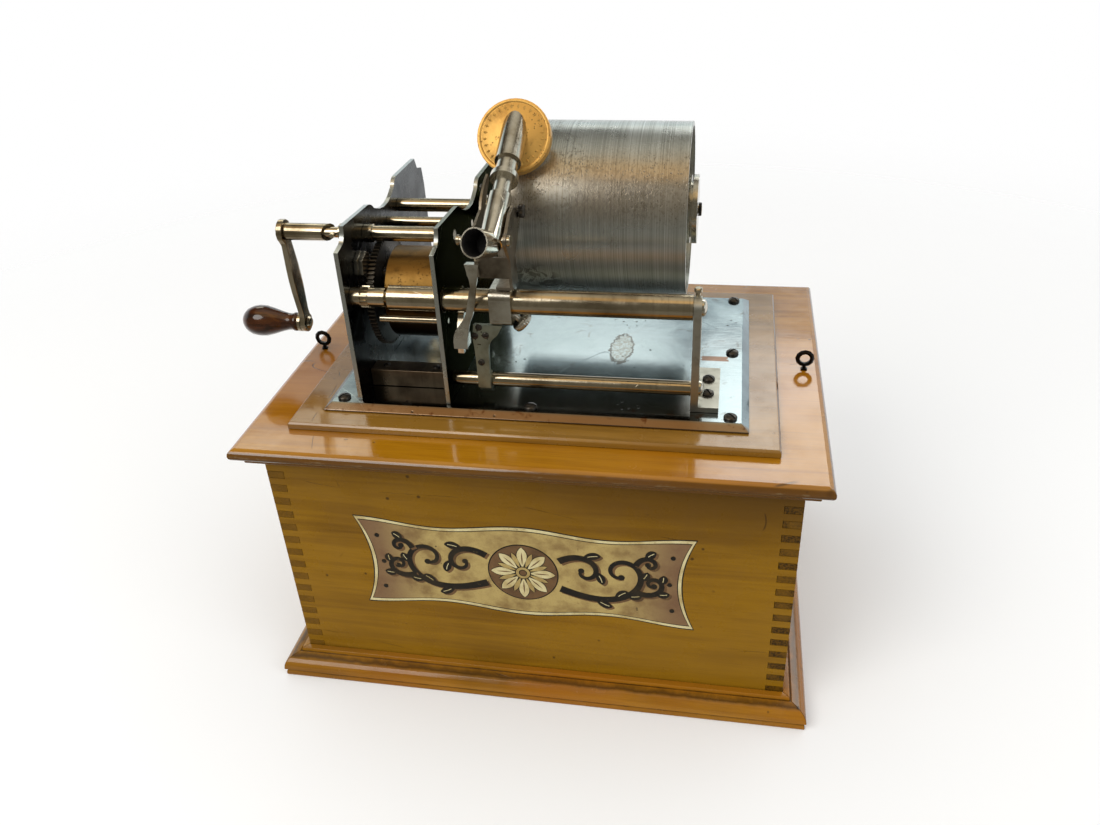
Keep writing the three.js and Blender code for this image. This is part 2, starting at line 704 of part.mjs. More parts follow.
function middleArbor(group) {
  const shaft = turned([
    [NEAR[0] - 0.6, 0], [NEAR[0] - 0.6, 2.5], [LEFT_INNER + GAP, 2.5], [LEFT_INNER + GAP, 4],
    [-113.2, 4], [-113.2, 2.5], [RIGHT_OUTER, 2.5], [RIGHT_OUTER, 0],
  ], 12);
  const leaves = pinion(GREAT_PINION_TEETH, GREAT_MODULE, greatPinionPhase(MIDDLE), -113.3, -106.4);
  piece(group, 'middle_arbor', join(shaft, leaves), polishedSteel());
  const wheel = spokedWheel(MIDDLE_TEETH, COARSE_MODULE, 0, ...NEAR, 2.8);
  piece(group, 'middle_wheel', wheel, brass());
}

function mandrelShaft(group) {
  const shaft = turned([
    [-128, 0], [-128, 3.7], [NEAR[1] - 0.2, 3.7], [NEAR[1] - 0.2, 4.4], [LEFT_INNER + GAP, 4.4],
    [LEFT_INNER + GAP, 5], [RIGHT_INNER - GAP, 5], [RIGHT_INNER - GAP, 4.4], [RIGHT_OUTER + GAP, 4.4],
    [RIGHT_OUTER + GAP, 8], [-51, 8], [-50, 6.4], [MANDREL_LEFT, 6.4], [MANDREL_LEFT, 5],
    [99.7, 5], [99.7, 3], [HUB_END + 2.3, 3], [HUB_END + 2.8, 2.4], [HUB_END + 2.8, 0],
  ], 14);
  const leaves = pinion(MIDDLE_PINION_TEETH, COARSE_MODULE, middlePinionPhase(MANDREL), ...NEAR);
  piece(group, 'mandrel_shaft', join(shaft, leaves), polishedSteel());
}

// The mandrel: a slightly tapered drum, closed at its left end.
function mandrel(group) {
  const [left, right, wall] = [MANDREL_RADIUS + 0.8, MANDREL_RADIUS - 0.4, 3];
  const inner = right - wall;
  const profile = [
    [MANDREL_LEFT, 5.3], [MANDREL_LEFT, left], [MANDREL_RIGHT, right], [MANDREL_RIGHT, inner],
    [MANDREL_LEFT + 4, inner], [MANDREL_LEFT + 4, 5.3], [MANDREL_LEFT, 5.3],
  ];
  piece(group, 'mandrel', turned(profile, 56), mandrelMetal());
}

function mandrelEndHub(group) {
  const disc = MANDREL_RADIUS - 3.8;
  const profile = [
    [90.5, 5.3], [90.5, disc], [93.5, disc], [93.5, 24.2], [98.9, 24.2], [98.9, 20], [100.4, 20],
    [100.4, 24.2], [HUB_END, 24.2], [HUB_END, 3.3], [100, 3.3], [100, 5.3], [90.5, 5.3],
  ];
  piece(group, 'mandrel_end_hub', turned(profile, 24), polishedSteel());
}

// A thin round nut closes the mandrel's end.
function mandrelNut(group) {
  const [left, right] = [HUB_END + GAP, HUB_END + 2.6];
  const profile = [
    [left, 3.3], [left, 4.8], [right - 0.5, 4.8], [right, 4.3], [right, 3.3], [left, 3.3],
  ];
  piece(group, 'mandrel_nut', turned(profile), blackSteel());
}

// The governor.

function governorDrive(group) {
  const shaft = turned([
    [NEAR[0] - 0.6, 0], [NEAR[0] - 0.6, 2], [LEFT_INNER + GAP, 2], [LEFT_INNER + GAP, 3.4],
    [-113.2, 3.4], [-113.2, 2], [RIGHT_OUTER, 2], [RIGHT_OUTER, 0],
  ], 12);
  const leaves = pinion(MIDDLE_PINION_TEETH, COARSE_MODULE, middlePinionPhase(GOVERNOR_DRIVE), ...NEAR);
  piece(group, 'governor_drive_arbor', join(shaft, leaves), polishedSteel());
  const gear = gearShape(GOVERNOR_WHEEL_TEETH, GOVERNOR_MODULE, 0);
  gear.holes.push(hole(0, 0, 2.3));
  piece(group, 'governor_wheel', across(gear, -112.8, -110.6), brass());
}

function governorArbor(group) {
  const shaft = turned([
    [LEFT_OUTER, 0], [LEFT_OUTER, 1.6], [LEFT_INNER + GAP, 1.6], [LEFT_INNER + GAP, 2],
    [RIGHT_INNER - GAP, 2], [RIGHT_INNER - GAP, 1.6], [RIGHT_OUTER, 1.6], [RIGHT_OUTER, 0],
  ], 12);
  const leaves = pinion(GOVERNOR_PINION_TEETH, GOVERNOR_MODULE, governorPhase, -114.5, -108.8);
  piece(group, 'governor_arbor', join(shaft, leaves), polishedSteel());
}

// Two collars joined by three bowed springs, each with a weight, and the brake disc on the right collar.
function governorHead(group) {
  const [left, right, reach] = [-100, -78, 8.2];
  const leftCollar = ring(left, left + 4, 2.3, 5, 10);
  const rightCollar = turned([
    [right - 4, 2.3], [right - 4, 5], [right + 1.8, 5], [right + 1.8, 10.6], [right + 3.4, 10.6],
    [right + 3.4, 2.3], [right - 4, 2.3],
  ], 12);
  const middle = (left + right) / 2;
  const bow = new THREE.Shape();
  bow.moveTo(left + 1, 4);
  bow.quadraticCurveTo(middle, 2 * reach - 4, right - 1, 4);
  bow.lineTo(right - 1, 3.2);
  bow.quadraticCurveTo(middle, 2 * reach - 5, left + 1, 3.2);
  const arms = [0, 1, 2].map((i) => {
    const leaf = inward(bow, -1.5, 1.5);
    const weight = rod(middle - 2.6, middle + 2.6, 3, 8).translate(0, 0, reach);
    return [leaf, weight].map((form) => form.rotateX((2 * Math.PI * i) / 3));
  });
  piece(group, 'governor_head', join(leftCollar, rightCollar, ...arms.flat()), brass());
}

// A leaf on the right plate holds a pad beside the governor's disc.
function governorBrake() {
  const [y, z] = GOVERNOR;
  const foot = box(RIGHT_INNER - 1.7, RIGHT_INNER - GAP, y - 4, y + 4, z + 12, z + 24);
  const leaf = box(-74, RIGHT_INNER - 1.6, y - 4, y + 4, z + 12, z + 13.4);
  const pad = box(-74, -72.4, y - 4, y + 4, z + 5, z + 12.1);
  piece(works, 'governor_brake', join(foot, leaf, pad), blackSteel());
}

// The feed screw with its long pinion, which the great wheel turns.
function feedScrew(group) {
  const shaft = turned([
    [LEFT_OUTER, 0], [LEFT_OUTER, 3], [LEFT_INNER + GAP, 3], [LEFT_INNER + GAP, 6.65], [-112.6, 6.65],
    [-112.6, 5], [-106.9, 5], [-106.9, 6.65], [-95.6, 6.65], [-95.6, 4], [BRACKET_X - 2, 4],
    [BRACKET_X - 2, 2.6], [BRACKET_X + 4.6, 2.6], [BRACKET_X + 4.6, 0],
  ], 16);
  const leaves = pinion(GREAT_PINION_TEETH, GREAT_MODULE, greatPinionPhase(FEED), -112.5, -107);
  piece(group, 'feed_screw', join(shaft, leaves), polishedSteel());
}

// The carriage. Its group's X is the middle of the clamp block, and its other axes are the frame's.

function carriageBlock(group) {
  const [y, z] = FEED;
  const shape = new THREE.Shape();
  shape.moveTo(y - 7, z - 14);
  shape.lineTo(y - 11, z - 11);
  shape.lineTo(y - 11, z + 5);
  shape.absarc(y - 5, z + 5, 6, Math.PI, Math.PI / 2, true);
  shape.lineTo(y + 11, z + 11);
  shape.lineTo(y + 11, z - 10);
  shape.lineTo(y + 6, z - 14);
  shape.holes.push(hole(y, z, TUBE_RADIUS + 0.3, 24));
  piece(group, 'carriage_block', across(shape, -7.2, 7.2), polishedSteel());
}

// The yoke stands on the block: a right cheek that reaches to the rear, a web in front, and a left
// cheek that follows the arm.
function carriageYoke(group) {
  const [py, pz] = ARM_PIVOT;
  const base = FEED[1] + 11 + GAP;
  const right = new THREE.Shape();
  right.moveTo(-70, base);
  right.lineTo(-73.2, 104.3);
  right.lineTo(-57, 116.7);
  right.lineTo(-52, 121.5);
  right.lineTo(-68.2, 134.8);
  right.lineTo(-78.4, 133.5);
  right.absarc(py, pz, 4.6, 0.45 * Math.PI, 1.15 * Math.PI, false);
  right.lineTo(-88, 106);
  right.lineTo(-86, base);
  const left = new THREE.Shape();
  left.moveTo(-88, 94);
  left.absarc(py, pz, 4.6, 1.15 * Math.PI, 0.45 * Math.PI, true);
  left.lineTo(-66, 131);
  left.quadraticCurveTo(-60, 142, -41, 146);
  left.lineTo(-40, 141);
  left.quadraticCurveTo(-56, 131, -64, 116);
  left.lineTo(-80, 94);
  for (const shape of [left, right]) shape.holes.push(hole(py, pz, 2.7));
  const web = inward(outline([[-14, 94], [9, 94], [9, 108], [-14, 108]]), -88, -86);
  const flange = box(-2, 9, -86, -70, base, base + 2);
  const cheeks = [across(left, -14.2, -12.6), across(right, 7.2, 9.2)];
  piece(group, 'carriage_yoke', join(web, flange, ...cheeks), polishedSteel());
}

// The foot hangs from the block and keeps hold of the lower rod with a half sleeve.
function guideFoot(group) {
  const top = FEED[1] - 14 - GAP;
  const shape = new THREE.Shape();
  shape.moveTo(-20, 12);
  shape.lineTo(-11.6, 12);
  shape.lineTo(-10.6, 42);
  shape.quadraticCurveTo(-9.8, 48, -4, 52);
  shape.lineTo(0, top);
  shape.lineTo(-19.6, top);
  shape.lineTo(-21, 50);
  shape.quadraticCurveTo(-19.6, 40, -20, 12);
  const [y, z] = LOWER_ROD;
  const clasp = new THREE.Shape();
  clasp.absarc(y, z, 7.8, 0.55 * Math.PI, 1.5 * Math.PI, false);
  clasp.absarc(y, z, 5.4, 1.5 * Math.PI, 0.55 * Math.PI, true);
  const sleeve = across(new THREE.Shape(clasp.getPoints(8).slice(0, -1)), -20, -11.6);
  piece(group, 'guide_foot', join(inward(shape, -85.5, -82.5), sleeve), polishedSteel());
}

const NUT_PIVOT = [-86, 49];

// The S-shaped arm comes down from the web in front of the tube, and holds the pin of the half nut.
function feedArm(group) {
  const shape = new THREE.Shape();
  shape.moveTo(-19.5, 105);
  shape.bezierCurveTo(-18.5, 96, -15, 92, -18.5, 85);
  shape.bezierCurveTo(-20.5, 74, -21.5, 68, -27, 62);
  shape.quadraticCurveTo(-33, 56, -32, NUT_PIVOT[1] - 4);
  shape.lineTo(-23, NUT_PIVOT[1] - 4);
  shape.quadraticCurveTo(-22, 58, -19, 65.5);
  shape.bezierCurveTo(-16, 71, -14.8, 78, -14, 86);
  shape.bezierCurveTo(-13, 92, -11, 96, -10.5, 105);
  const blade = inward(new THREE.Shape(shape.getPoints(4)), -92.6, -90.4);
  const block = box(-26.6, -23, -90.6, -82.5, NUT_PIVOT[1] - 4, NUT_PIVOT[1] + 4);
  const pin = rod(-31.4, -23.1, 2, 12).translate(0, ...NUT_PIVOT);
  const pad = box(-19, -10.8, -90.5, -88.3, 96, 105);
  piece(group, 'feed_arm', join(blade, block, pin, pad), polishedSteel());
}

// The half nut lever turns on that pin. It passes under the tube and enters the slot from the rear.
function halfNut(group) {
  const [y, z] = FEED;
  const at = (radius, aside) => [
    y + radius * Math.cos(SLOT_ANGLE) - aside * Math.sin(SLOT_ANGLE),
    z + radius * Math.sin(SLOT_ANGLE) + aside * Math.cos(SLOT_ANGLE),
  ];
  const [py, pz] = NUT_PIVOT;
  const lever = outline([
    [py - 3, pz + 1], [py - 2.6, pz - 3], [py - 1.4, pz - 10], [py + 2, pz - 10.6],
    [py + 3.4, pz - 1], [y, z - 14.6], at(13.4, -2.1), at(13.4, 2.1), at(3, 2.1), at(3, -2.1),
    at(9.6, -2.1), [y - 2, z - 10.4], [py - 1, pz + 3.4],
  ]);
  lever.holes.push(hole(py, pz, 2.3, 8));
  const screw = rod(-40, -20, 4.4, 16).translate(0, y, z);
  piece(group, 'half_nut', cut(solid(across(lever, -31, -27)), screw), polishedSteel());
}

// The sound arm, about its pivot. Its tube rises to the rear from the pivot.

const upTube = (s) => [ARM_X, s * Math.cos(ARM_SLOPE), s * Math.sin(ARM_SLOPE)];
const DISC_DISTANCE = 90.5;
const HORN_MOUTH = new THREE.Vector3(-23, -17, 5.2);
const HORN_ROOT = new THREE.Vector3(-18.4, -0.5, -2.4);

// The disc's frame: its centre, and its axis tilted up from the horizontal toward the front.
function onDisc(geometry) {
  return geometry.rotateX(-DISC_TILT).translate(...upTube(DISC_DISTANCE));
}

function hornElbow(group) {
  const outward = HORN_MOUTH.clone().sub(HORN_ROOT).normalize();
  const sleeve = bar(upTube(-3), upTube(36), 7.6, 16);
  const ball = new THREE.SphereGeometry(8.4, 14, 9).translate(ARM_X - 1, 0, -1);
  const horn = taper(HORN_ROOT, HORN_MOUTH, 8.3, 9.4, 20);
  const trunnion = rod(-38.5, -5.6, 2.4, 12);
  const boreRoot = HORN_ROOT.clone().addScaledVector(outward, 2);
  const boreMouth = HORN_MOUTH.clone().addScaledVector(outward, 1);
  const mouthBore = taper(boreRoot, boreMouth, 7.2, 8.6, 20);
  const tubeBore = bar(upTube(4), upTube(38), 6.2, 14);
  const body = cut(join(sleeve, ball, horn, trunnion), mouthBore, tubeBore);
  piece(group, 'horn_elbow', body, polishedSteel());
}

// The sound tube: a thin tube, a collar, a wider tube, and a nozzle cut slantwise where it meets the disc.
function soundTube(group) {
  const outside = [
    bar(upTube(24), upTube(52), 5.8, 16), bar(upTube(50), upTube(54), 9.2, 20),
    bar(upTube(53), upTube(67), 7, 16), bar(upTube(66), upTube(120), 8.8, 20),
  ];
  const bore = bar(upTube(23), upTube(121), 4.6, 10);
  const behind = onDisc(box(-60, 60, 0, 90, -60, 60).translate(0, -GAP, 0));
  piece(group, 'sound_tube', cut(join(...outside), bore, behind), polishedSteel());
}

// A body turned about the disc's axis, from [depth behind the face, radius].
function discTurned(profile, sides) {
  const points = profile.map(([depth, radius]) => new THREE.Vector2(radius, depth));
  return onDisc(new THREE.LatheGeometry(points, sides));
}

function reproducer(group) {
  const body = discTurned([
    [0, 0], [0, DISC_RADIUS], [7, DISC_RADIUS], [7, DISC_RADIUS - 3.4], [3.4, DISC_RADIUS - 3.4], [3.4, 0],
  ], 40);
  piece(group, 'reproducer_body', body, brass());
  const glass = discTurned([[4.4, 0], [4.4, DISC_RADIUS - 3.8], [4.9, DISC_RADIUS - 3.8], [4.9, 0]], 24);
  piece(group, 'diaphragm', glass, mica());
  const stylus = discTurned([[5.2, 0], [5.2, 3], [6.4, 3], [8, 1.4], [13.8, 1], [15.2, 0]], 8);
  piece(group, 'stylus', stylus, polishedSteel());
}

// Assembly.

function buildCase() {
  const [x, y] = [CASE_HALF_X, CASE_HALF_Y];
  piece(woodwork, 'bottom_board', box(-x, x, -y, y, 0, FLOOR), caseWood());
  caseBoards();
  plinth();
  lid();
  screwEye('screw_eye_left', -EYE_X);
  screwEye('screw_eye_right', EYE_X);
  bedding();
}

function buildFrame() {
  leftPlate();
  rightPlate();
  footBar('front_foot_bar', -63);
  footBar('rear_foot_bar', 69);
  pillar('top_pillar', TOP_PILLAR, 3.7);
  pillar('rear_pillar', REAR_PILLAR, 4.2);
  stayRod();
  lowerRod();
  guideTube();
  endBracket();
  clickStud();
  governorBrake();
}

function buildWinding() {
  const group = onAxis(works, WINDING);
  windingShaft(group);
  windingPinion(group);
  crankSleeve(group);
  crankArm(group);
  gripSpindle(group);
  grip(group);
  click();
}

function buildMotor() {
  const group = onAxis(works, BARREL);
  barrelArbor(group);
  windingWheel(group);
  springBarrel(group);
  greatWheel(group);
  mainspring(group);
}

function buildTrain() {
  middleArbor(onAxis(works, MIDDLE));
  const spindle = onAxis(works, MANDREL);
  mandrelShaft(spindle);
  mandrel(spindle);
  mandrelEndHub(spindle);
  mandrelNut(spindle);
  governorDrive(onAxis(works, GOVERNOR_DRIVE));
  const governor = onAxis(works, GOVERNOR);
  governorArbor(governor);
  governorHead(governor);
  feedScrew(onAxis(works, FEED));
}

function buildCarriage() {
  const carriage = placed(works, CARRIAGE_X, 0, 0);
  carriageBlock(carriage);
  carriageYoke(carriage);
  guideFoot(carriage);
  feedArm(carriage);
  halfNut(carriage);
  const arm = onAxis(works, ARM_PIVOT);
  hornElbow(arm);
  soundTube(arm);
  reproducer(arm);
}

buildCase();
buildFrame();
buildWinding();
buildMotor();
buildTrain();
buildCarriage();

export default phonograph;
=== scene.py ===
"""A cylinder phonograph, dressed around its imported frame. Metres, X right, Y to the rear, Z up."""
import json
import math

import bmesh
import bpy
import numpy as np
from mathutils import Matrix, Vector

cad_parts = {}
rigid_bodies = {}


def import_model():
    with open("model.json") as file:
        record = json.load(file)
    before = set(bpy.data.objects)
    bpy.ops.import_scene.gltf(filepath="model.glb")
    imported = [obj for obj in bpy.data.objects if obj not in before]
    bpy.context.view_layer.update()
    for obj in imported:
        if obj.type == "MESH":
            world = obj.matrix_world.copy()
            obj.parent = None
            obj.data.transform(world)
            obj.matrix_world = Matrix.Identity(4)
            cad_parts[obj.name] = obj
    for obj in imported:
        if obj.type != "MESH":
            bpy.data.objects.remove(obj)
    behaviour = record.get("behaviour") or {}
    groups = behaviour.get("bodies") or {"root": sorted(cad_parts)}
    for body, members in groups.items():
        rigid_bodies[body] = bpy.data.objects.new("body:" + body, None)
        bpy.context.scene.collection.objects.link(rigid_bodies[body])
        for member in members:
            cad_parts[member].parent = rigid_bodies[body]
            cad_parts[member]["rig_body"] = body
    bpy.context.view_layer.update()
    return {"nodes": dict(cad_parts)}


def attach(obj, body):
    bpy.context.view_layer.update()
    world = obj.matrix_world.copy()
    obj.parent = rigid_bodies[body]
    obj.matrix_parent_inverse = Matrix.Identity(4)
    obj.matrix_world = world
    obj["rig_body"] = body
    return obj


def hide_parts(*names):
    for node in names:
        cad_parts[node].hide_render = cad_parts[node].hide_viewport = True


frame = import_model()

SCENE = bpy.context.scene
MM = 0.001

# Places on the works, in millimetres.
BED_TOP = 225.0
FRONT_FACE = -130.0
ORNAMENT_CENTRE = (-4.0, 113.0)
PANEL_HALF = (121, 41)
DISC_CENTRE = (-17.0, -11.36, 387.09)
DISC_NORMAL = (0.0, -0.848, 0.530)
DISC_RADIUS = 24.8
HORN_ROOT = (-18.4, -92.5, 343.6)
HORN_MOUTH = (-23.0, -109.0, 351.2)
FEED_AXIS = (-78.0, 298.7)
TRUNNION_AXIS = (-92.0, 346.0)
UP, RIGHTWARD, LEFTWARD, FORWARD = (0, 0, 1), (1, 0, 0), (-1, 0, 0), (0, -1, 0)

# Places of single marks, in metres.
MANDREL_STAIN = (-0.006, -0.02, 0.285)
RUBBED_PLACE = (0.052, 0.001)
TORN_PLACE = (0.1215, -0.009, 0.225)

# The camera, from the perspective of the photograph.
CAMERA_PLACE = (0.12402, -0.61865, 0.55956)
HEADING, PITCH, ROLL = (math.radians(a) for a in (-11.8098, -31.9638, -3.2119))
FOCAL_SHARE = 939.956 / 1100
LAMP_AIM = (0, 0, 0.15)


def photo_camera():
    """A camera that looks along heading and pitch, then leans by the roll about its line of sight."""
    data = bpy.data.cameras.new("photo_camera")
    data.sensor_width = 36.0
    data.lens = FOCAL_SHARE * data.sensor_width
    data.clip_start, data.clip_end = 0.01, 100.0
    level_share = math.cos(PITCH)
    forward = Vector((math.sin(HEADING) * level_share, math.cos(HEADING) * level_share, math.sin(PITCH)))
    level = forward.cross(Vector(UP)).normalized()
    above = level.cross(forward)
    right = level * math.cos(ROLL) + above * math.sin(ROLL)
    up = above * math.cos(ROLL) - level * math.sin(ROLL)
    camera = bpy.data.objects.new("photo_camera", data)
    SCENE.collection.objects.link(camera)
    turn = Matrix((right, up, -forward)).transposed().to_4x4()
    camera.matrix_world = Matrix.Translation(CAMERA_PLACE) @ turn
    SCENE.camera = camera


def linear(hex_colour):
    """An sRGB hex colour as linear red, green, blue and alpha."""
    parts = [int(hex_colour[i:i + 2], 16) / 255 for i in (1, 3, 5)]
    return tuple(c / 12.92 if c <= 0.04045 else ((c + 0.055) / 1.055) ** 2.4 for c in parts) + (1.0,)


class Nodes:
    """Short forms for building a node tree."""

    def __init__(self, tree):
        self.tree = tree

    def add(self, kind, **settings):
        node = self.tree.nodes.new("ShaderNode" + kind)
        for key, value in settings.items():
            setattr(node, key, value)
        return node

    def feed(self, socket, value):
        """Links an output to the socket, or sets a plain value on it."""
        if isinstance(value, bpy.types.NodeSocket):
            self.tree.links.new(value, socket)
        else:
            socket.default_value = value

    def maths(self, operation, first, second=0.0):
        node = self.add("Math", operation=operation)
        self.feed(node.inputs[0], first)
        self.feed(node.inputs[1], second)
        return node.outputs[0]

    def product(self, first, *others):
        for other in others:
            first = self.maths("MULTIPLY", first, other)
        return first

    def span(self, value, low, high, to_low=0.0, to_high=1.0, smooth=True):
        """value carried from low..high to to_low..to_high, held at both ends."""
        node = self.add("MapRange", interpolation_type="SMOOTHSTEP" if smooth else "LINEAR")
        for socket, given in zip(node.inputs, (value, low, high, to_low, to_high)):
            self.feed(socket, given)
        return node.outputs["Result"]

    def band(self, value, low, high, edge):
        """1 where value lies between low and high, 0 outside, with soft edges."""
        rising = self.span(value, low - edge, low + edge)
        return self.product(rising, self.span(value, high + edge, high - edge))

    def blend(self, amount, first, second):
        """Two colours mixed: the first where amount is 0, the second where it is 1."""
        node = self.add("Mix", data_type="RGBA")
        self.feed(node.inputs[0], amount)
        self.feed(node.inputs[6], first)
        self.feed(node.inputs[7], second)
        return node.outputs[2]

    def ramp(self, value, *stops):
        node = self.add("ValToRGB")
        elements = node.color_ramp.elements
        while len(elements) < len(stops):
            elements.new(0.5)
        for element, (position, colour) in zip(elements, stops):
            element.position = position
            element.color = linear(colour)
        self.feed(node.inputs[0], value)
        return node.outputs["Color"]

    def parts(self, vector):
        node = self.add("SeparateXYZ")
        self.feed(node.inputs[0], vector)
        return node.outputs


# What polished and varnished surfaces see: (left, right, low, high, edge) of each bright pane in degrees
# of heading from the rear toward the right and of height, then its colour.
PANES = (
    (-42.0, -24.6, 30.0, 44.0, 1.2, (2.5, 2.4, 2.0, 1.0)),
    (-15.0, -3.0, 26.5, 31.5, 1.4, (3.0, 3.0, 2.8, 1.0)),
    (-1.3, 48.0, 27.5, 47.0, 0.8, (3.5, 3.5, 3.3, 1.0)),
)
SOFT_LIGHT = (0.86, 0.86, 0.85, 1.0)
WARM_GLOW = (0.95, 0.68, 0.36, 1.0)
WHITE = (1.0, 1.0, 1.0, 1.0)
DIM_FRONT = "#6b675b"


def room_light():
    """The world. The camera and clear things see a white background. Gloss sees the same white low behind
    the object, and above it and in front of it a dim surround with a warm glow and bright panes.
    Everything else gets an even soft light."""
    world = bpy.data.worlds.new("room")
    SCENE.world = world
    world.use_nodes = True
    n = Nodes(world.node_tree)
    background = world.node_tree.nodes["Background"]
    x, y, z = n.parts(n.add("TexCoord").outputs["Generated"])
    heading = n.product(n.maths("ARCTAN2", x, y), 180 / math.pi)
    height = n.product(n.maths("ARCSINE", z), 180 / math.pi)
    room = n.ramp(
        n.span(height, 0.0, 90.0, smooth=False),
        (0.0, "#ffffff"), (0.12, "#f6fdff"), (0.22, "#e4f5f9"), (0.31, "#a3b0b4"), (0.4, "#3a342b"),
        (0.56, "#554d42"), (0.72, "#b5b0a2"), (0.86, "#d6cfbe"), (1.0, "#dccdb2"),
    )
    dim = n.product(n.span(y, 0.1, -0.35), n.span(height, 74.0, 52.0))
    room = n.blend(dim, room, linear(DIM_FRONT))
    for left, right, low, high, edge, colour in PANES:
        inside = n.product(n.band(heading, left, right, edge), n.band(height, low, high, edge))
        room = n.blend(inside, room, colour)
    glow = n.product(n.span(y, 0.05, -0.05), n.band(height, 56.0, 80.0, 4.0))
    room = n.blend(glow, room, WARM_GLOW)
    rays = n.add("LightPath").outputs
    colour = n.blend(rays["Is Glossy Ray"], SOFT_LIGHT, room)
    clear = n.maths("MAXIMUM", rays["Is Camera Ray"], rays["Is Transmission Ray"])
    n.feed(background.inputs["Color"], n.blend(clear, colour, WHITE))
    n.feed(background.inputs["Strength"], 1.0)


def area_lamp(name, place, size, power, colour):
    """A soft round lamp that is turned to the middle of the object."""
    data = bpy.data.lights.new(name, "AREA")
    data.shape, data.size, data.energy, data.color = "DISK", size, power, colour
    lamp = bpy.data.objects.new(name, data)
    SCENE.collection.objects.link(lamp)
    aim = Vector(LAMP_AIM) - Vector(place)
    lamp.matrix_world = Matrix.Translation(place) @ aim.to_track_quat("-Z", "Y").to_matrix().to_4x4()


# Finishes.

class Finish(Nodes):
    """One procedural material on Object coordinates."""

    def __init__(self, name):
        self.material = bpy.data.materials.new(name)
        self.material.use_nodes = True
        super().__init__(self.material.node_tree)
        self.surface = self.tree.nodes["Principled BSDF"]
        coordinates = self.add("TexCoord")
        self.place = coordinates.outputs["Object"]
        self.facing = coordinates.outputs["Normal"]

    def stretched(self, scale, turn=(0.0, 0.0, 0.0)):
        node = self.add("Mapping")
        self.feed(node.inputs["Vector"], self.place)
        node.inputs["Rotation"].default_value = turn
        node.inputs["Scale"].default_value = scale
        return node.outputs["Vector"]

    def noise(self, scale, detail, roughness=0.5, distortion=0.0, vector=None):
        node = self.add("TexNoise")
        self.feed(node.inputs["Vector"], vector or self.place)
        settings = {"Scale": scale, "Detail": detail, "Roughness": roughness, "Distortion": distortion}
        for key, value in settings.items():
            node.inputs[key].default_value = value
        return node.outputs["Fac"]

    def cells(self, scale, vector=None):
        node = self.add("TexVoronoi")
        self.feed(node.inputs["Vector"], vector or self.place)
        node.inputs["Scale"].default_value = scale
        return node.outputs["Distance"]

    def apart(self, point):
        """The distance from a point, given in metres."""
        node = self.add("VectorMath", operation="DISTANCE")
        self.feed(node.inputs[0], self.place)
        node.inputs[1].default_value = point
        return node.outputs["Value"]

    def hairlines(self, scale, stretch, width, turn):
        """Thin curved lines: the places where a stretched noise passes through its middle."""
        level = self.noise(scale, 1.0, vector=self.stretched(stretch, turn))
        return self.span(self.maths("ABSOLUTE", self.maths("SUBTRACT", level, 0.5)), width, 0.0)

    def specks(self, scale, size, share):
        """Small round marks, kept only where a slower noise is above 1 - share."""
        mark = self.span(self.cells(scale), size, size * 0.5)
        return self.product(mark, self.span(self.noise(scale * 0.16, 2.0), 1 - share, 1.04 - share))

    def tint(self, base, amount, colour):
        return self.blend(amount, base, linear(colour))

    def dented(self, *layers):
        """Joins (height, depth in metres) layers into one bump."""
        normal = None
        for height, depth in layers:
            node = self.add("Bump")
            node.inputs["Strength"].default_value = 1.0
            node.inputs["Distance"].default_value = depth
            self.feed(node.inputs["Height"], height)
            if normal is not None:
                self.feed(node.inputs["Normal"], normal)
            normal = node.outputs["Normal"]
        self.feed(self.surface.inputs["Normal"], normal)

    def set(self, **sockets):
        """Feeds inputs of the surface, named in small letters with underscores, and gives the material."""
        for key, value in sockets.items():
            self.feed(self.surface.inputs[key.replace("_", " ").title().replace("Ior", "IOR")], value)
        return self.material


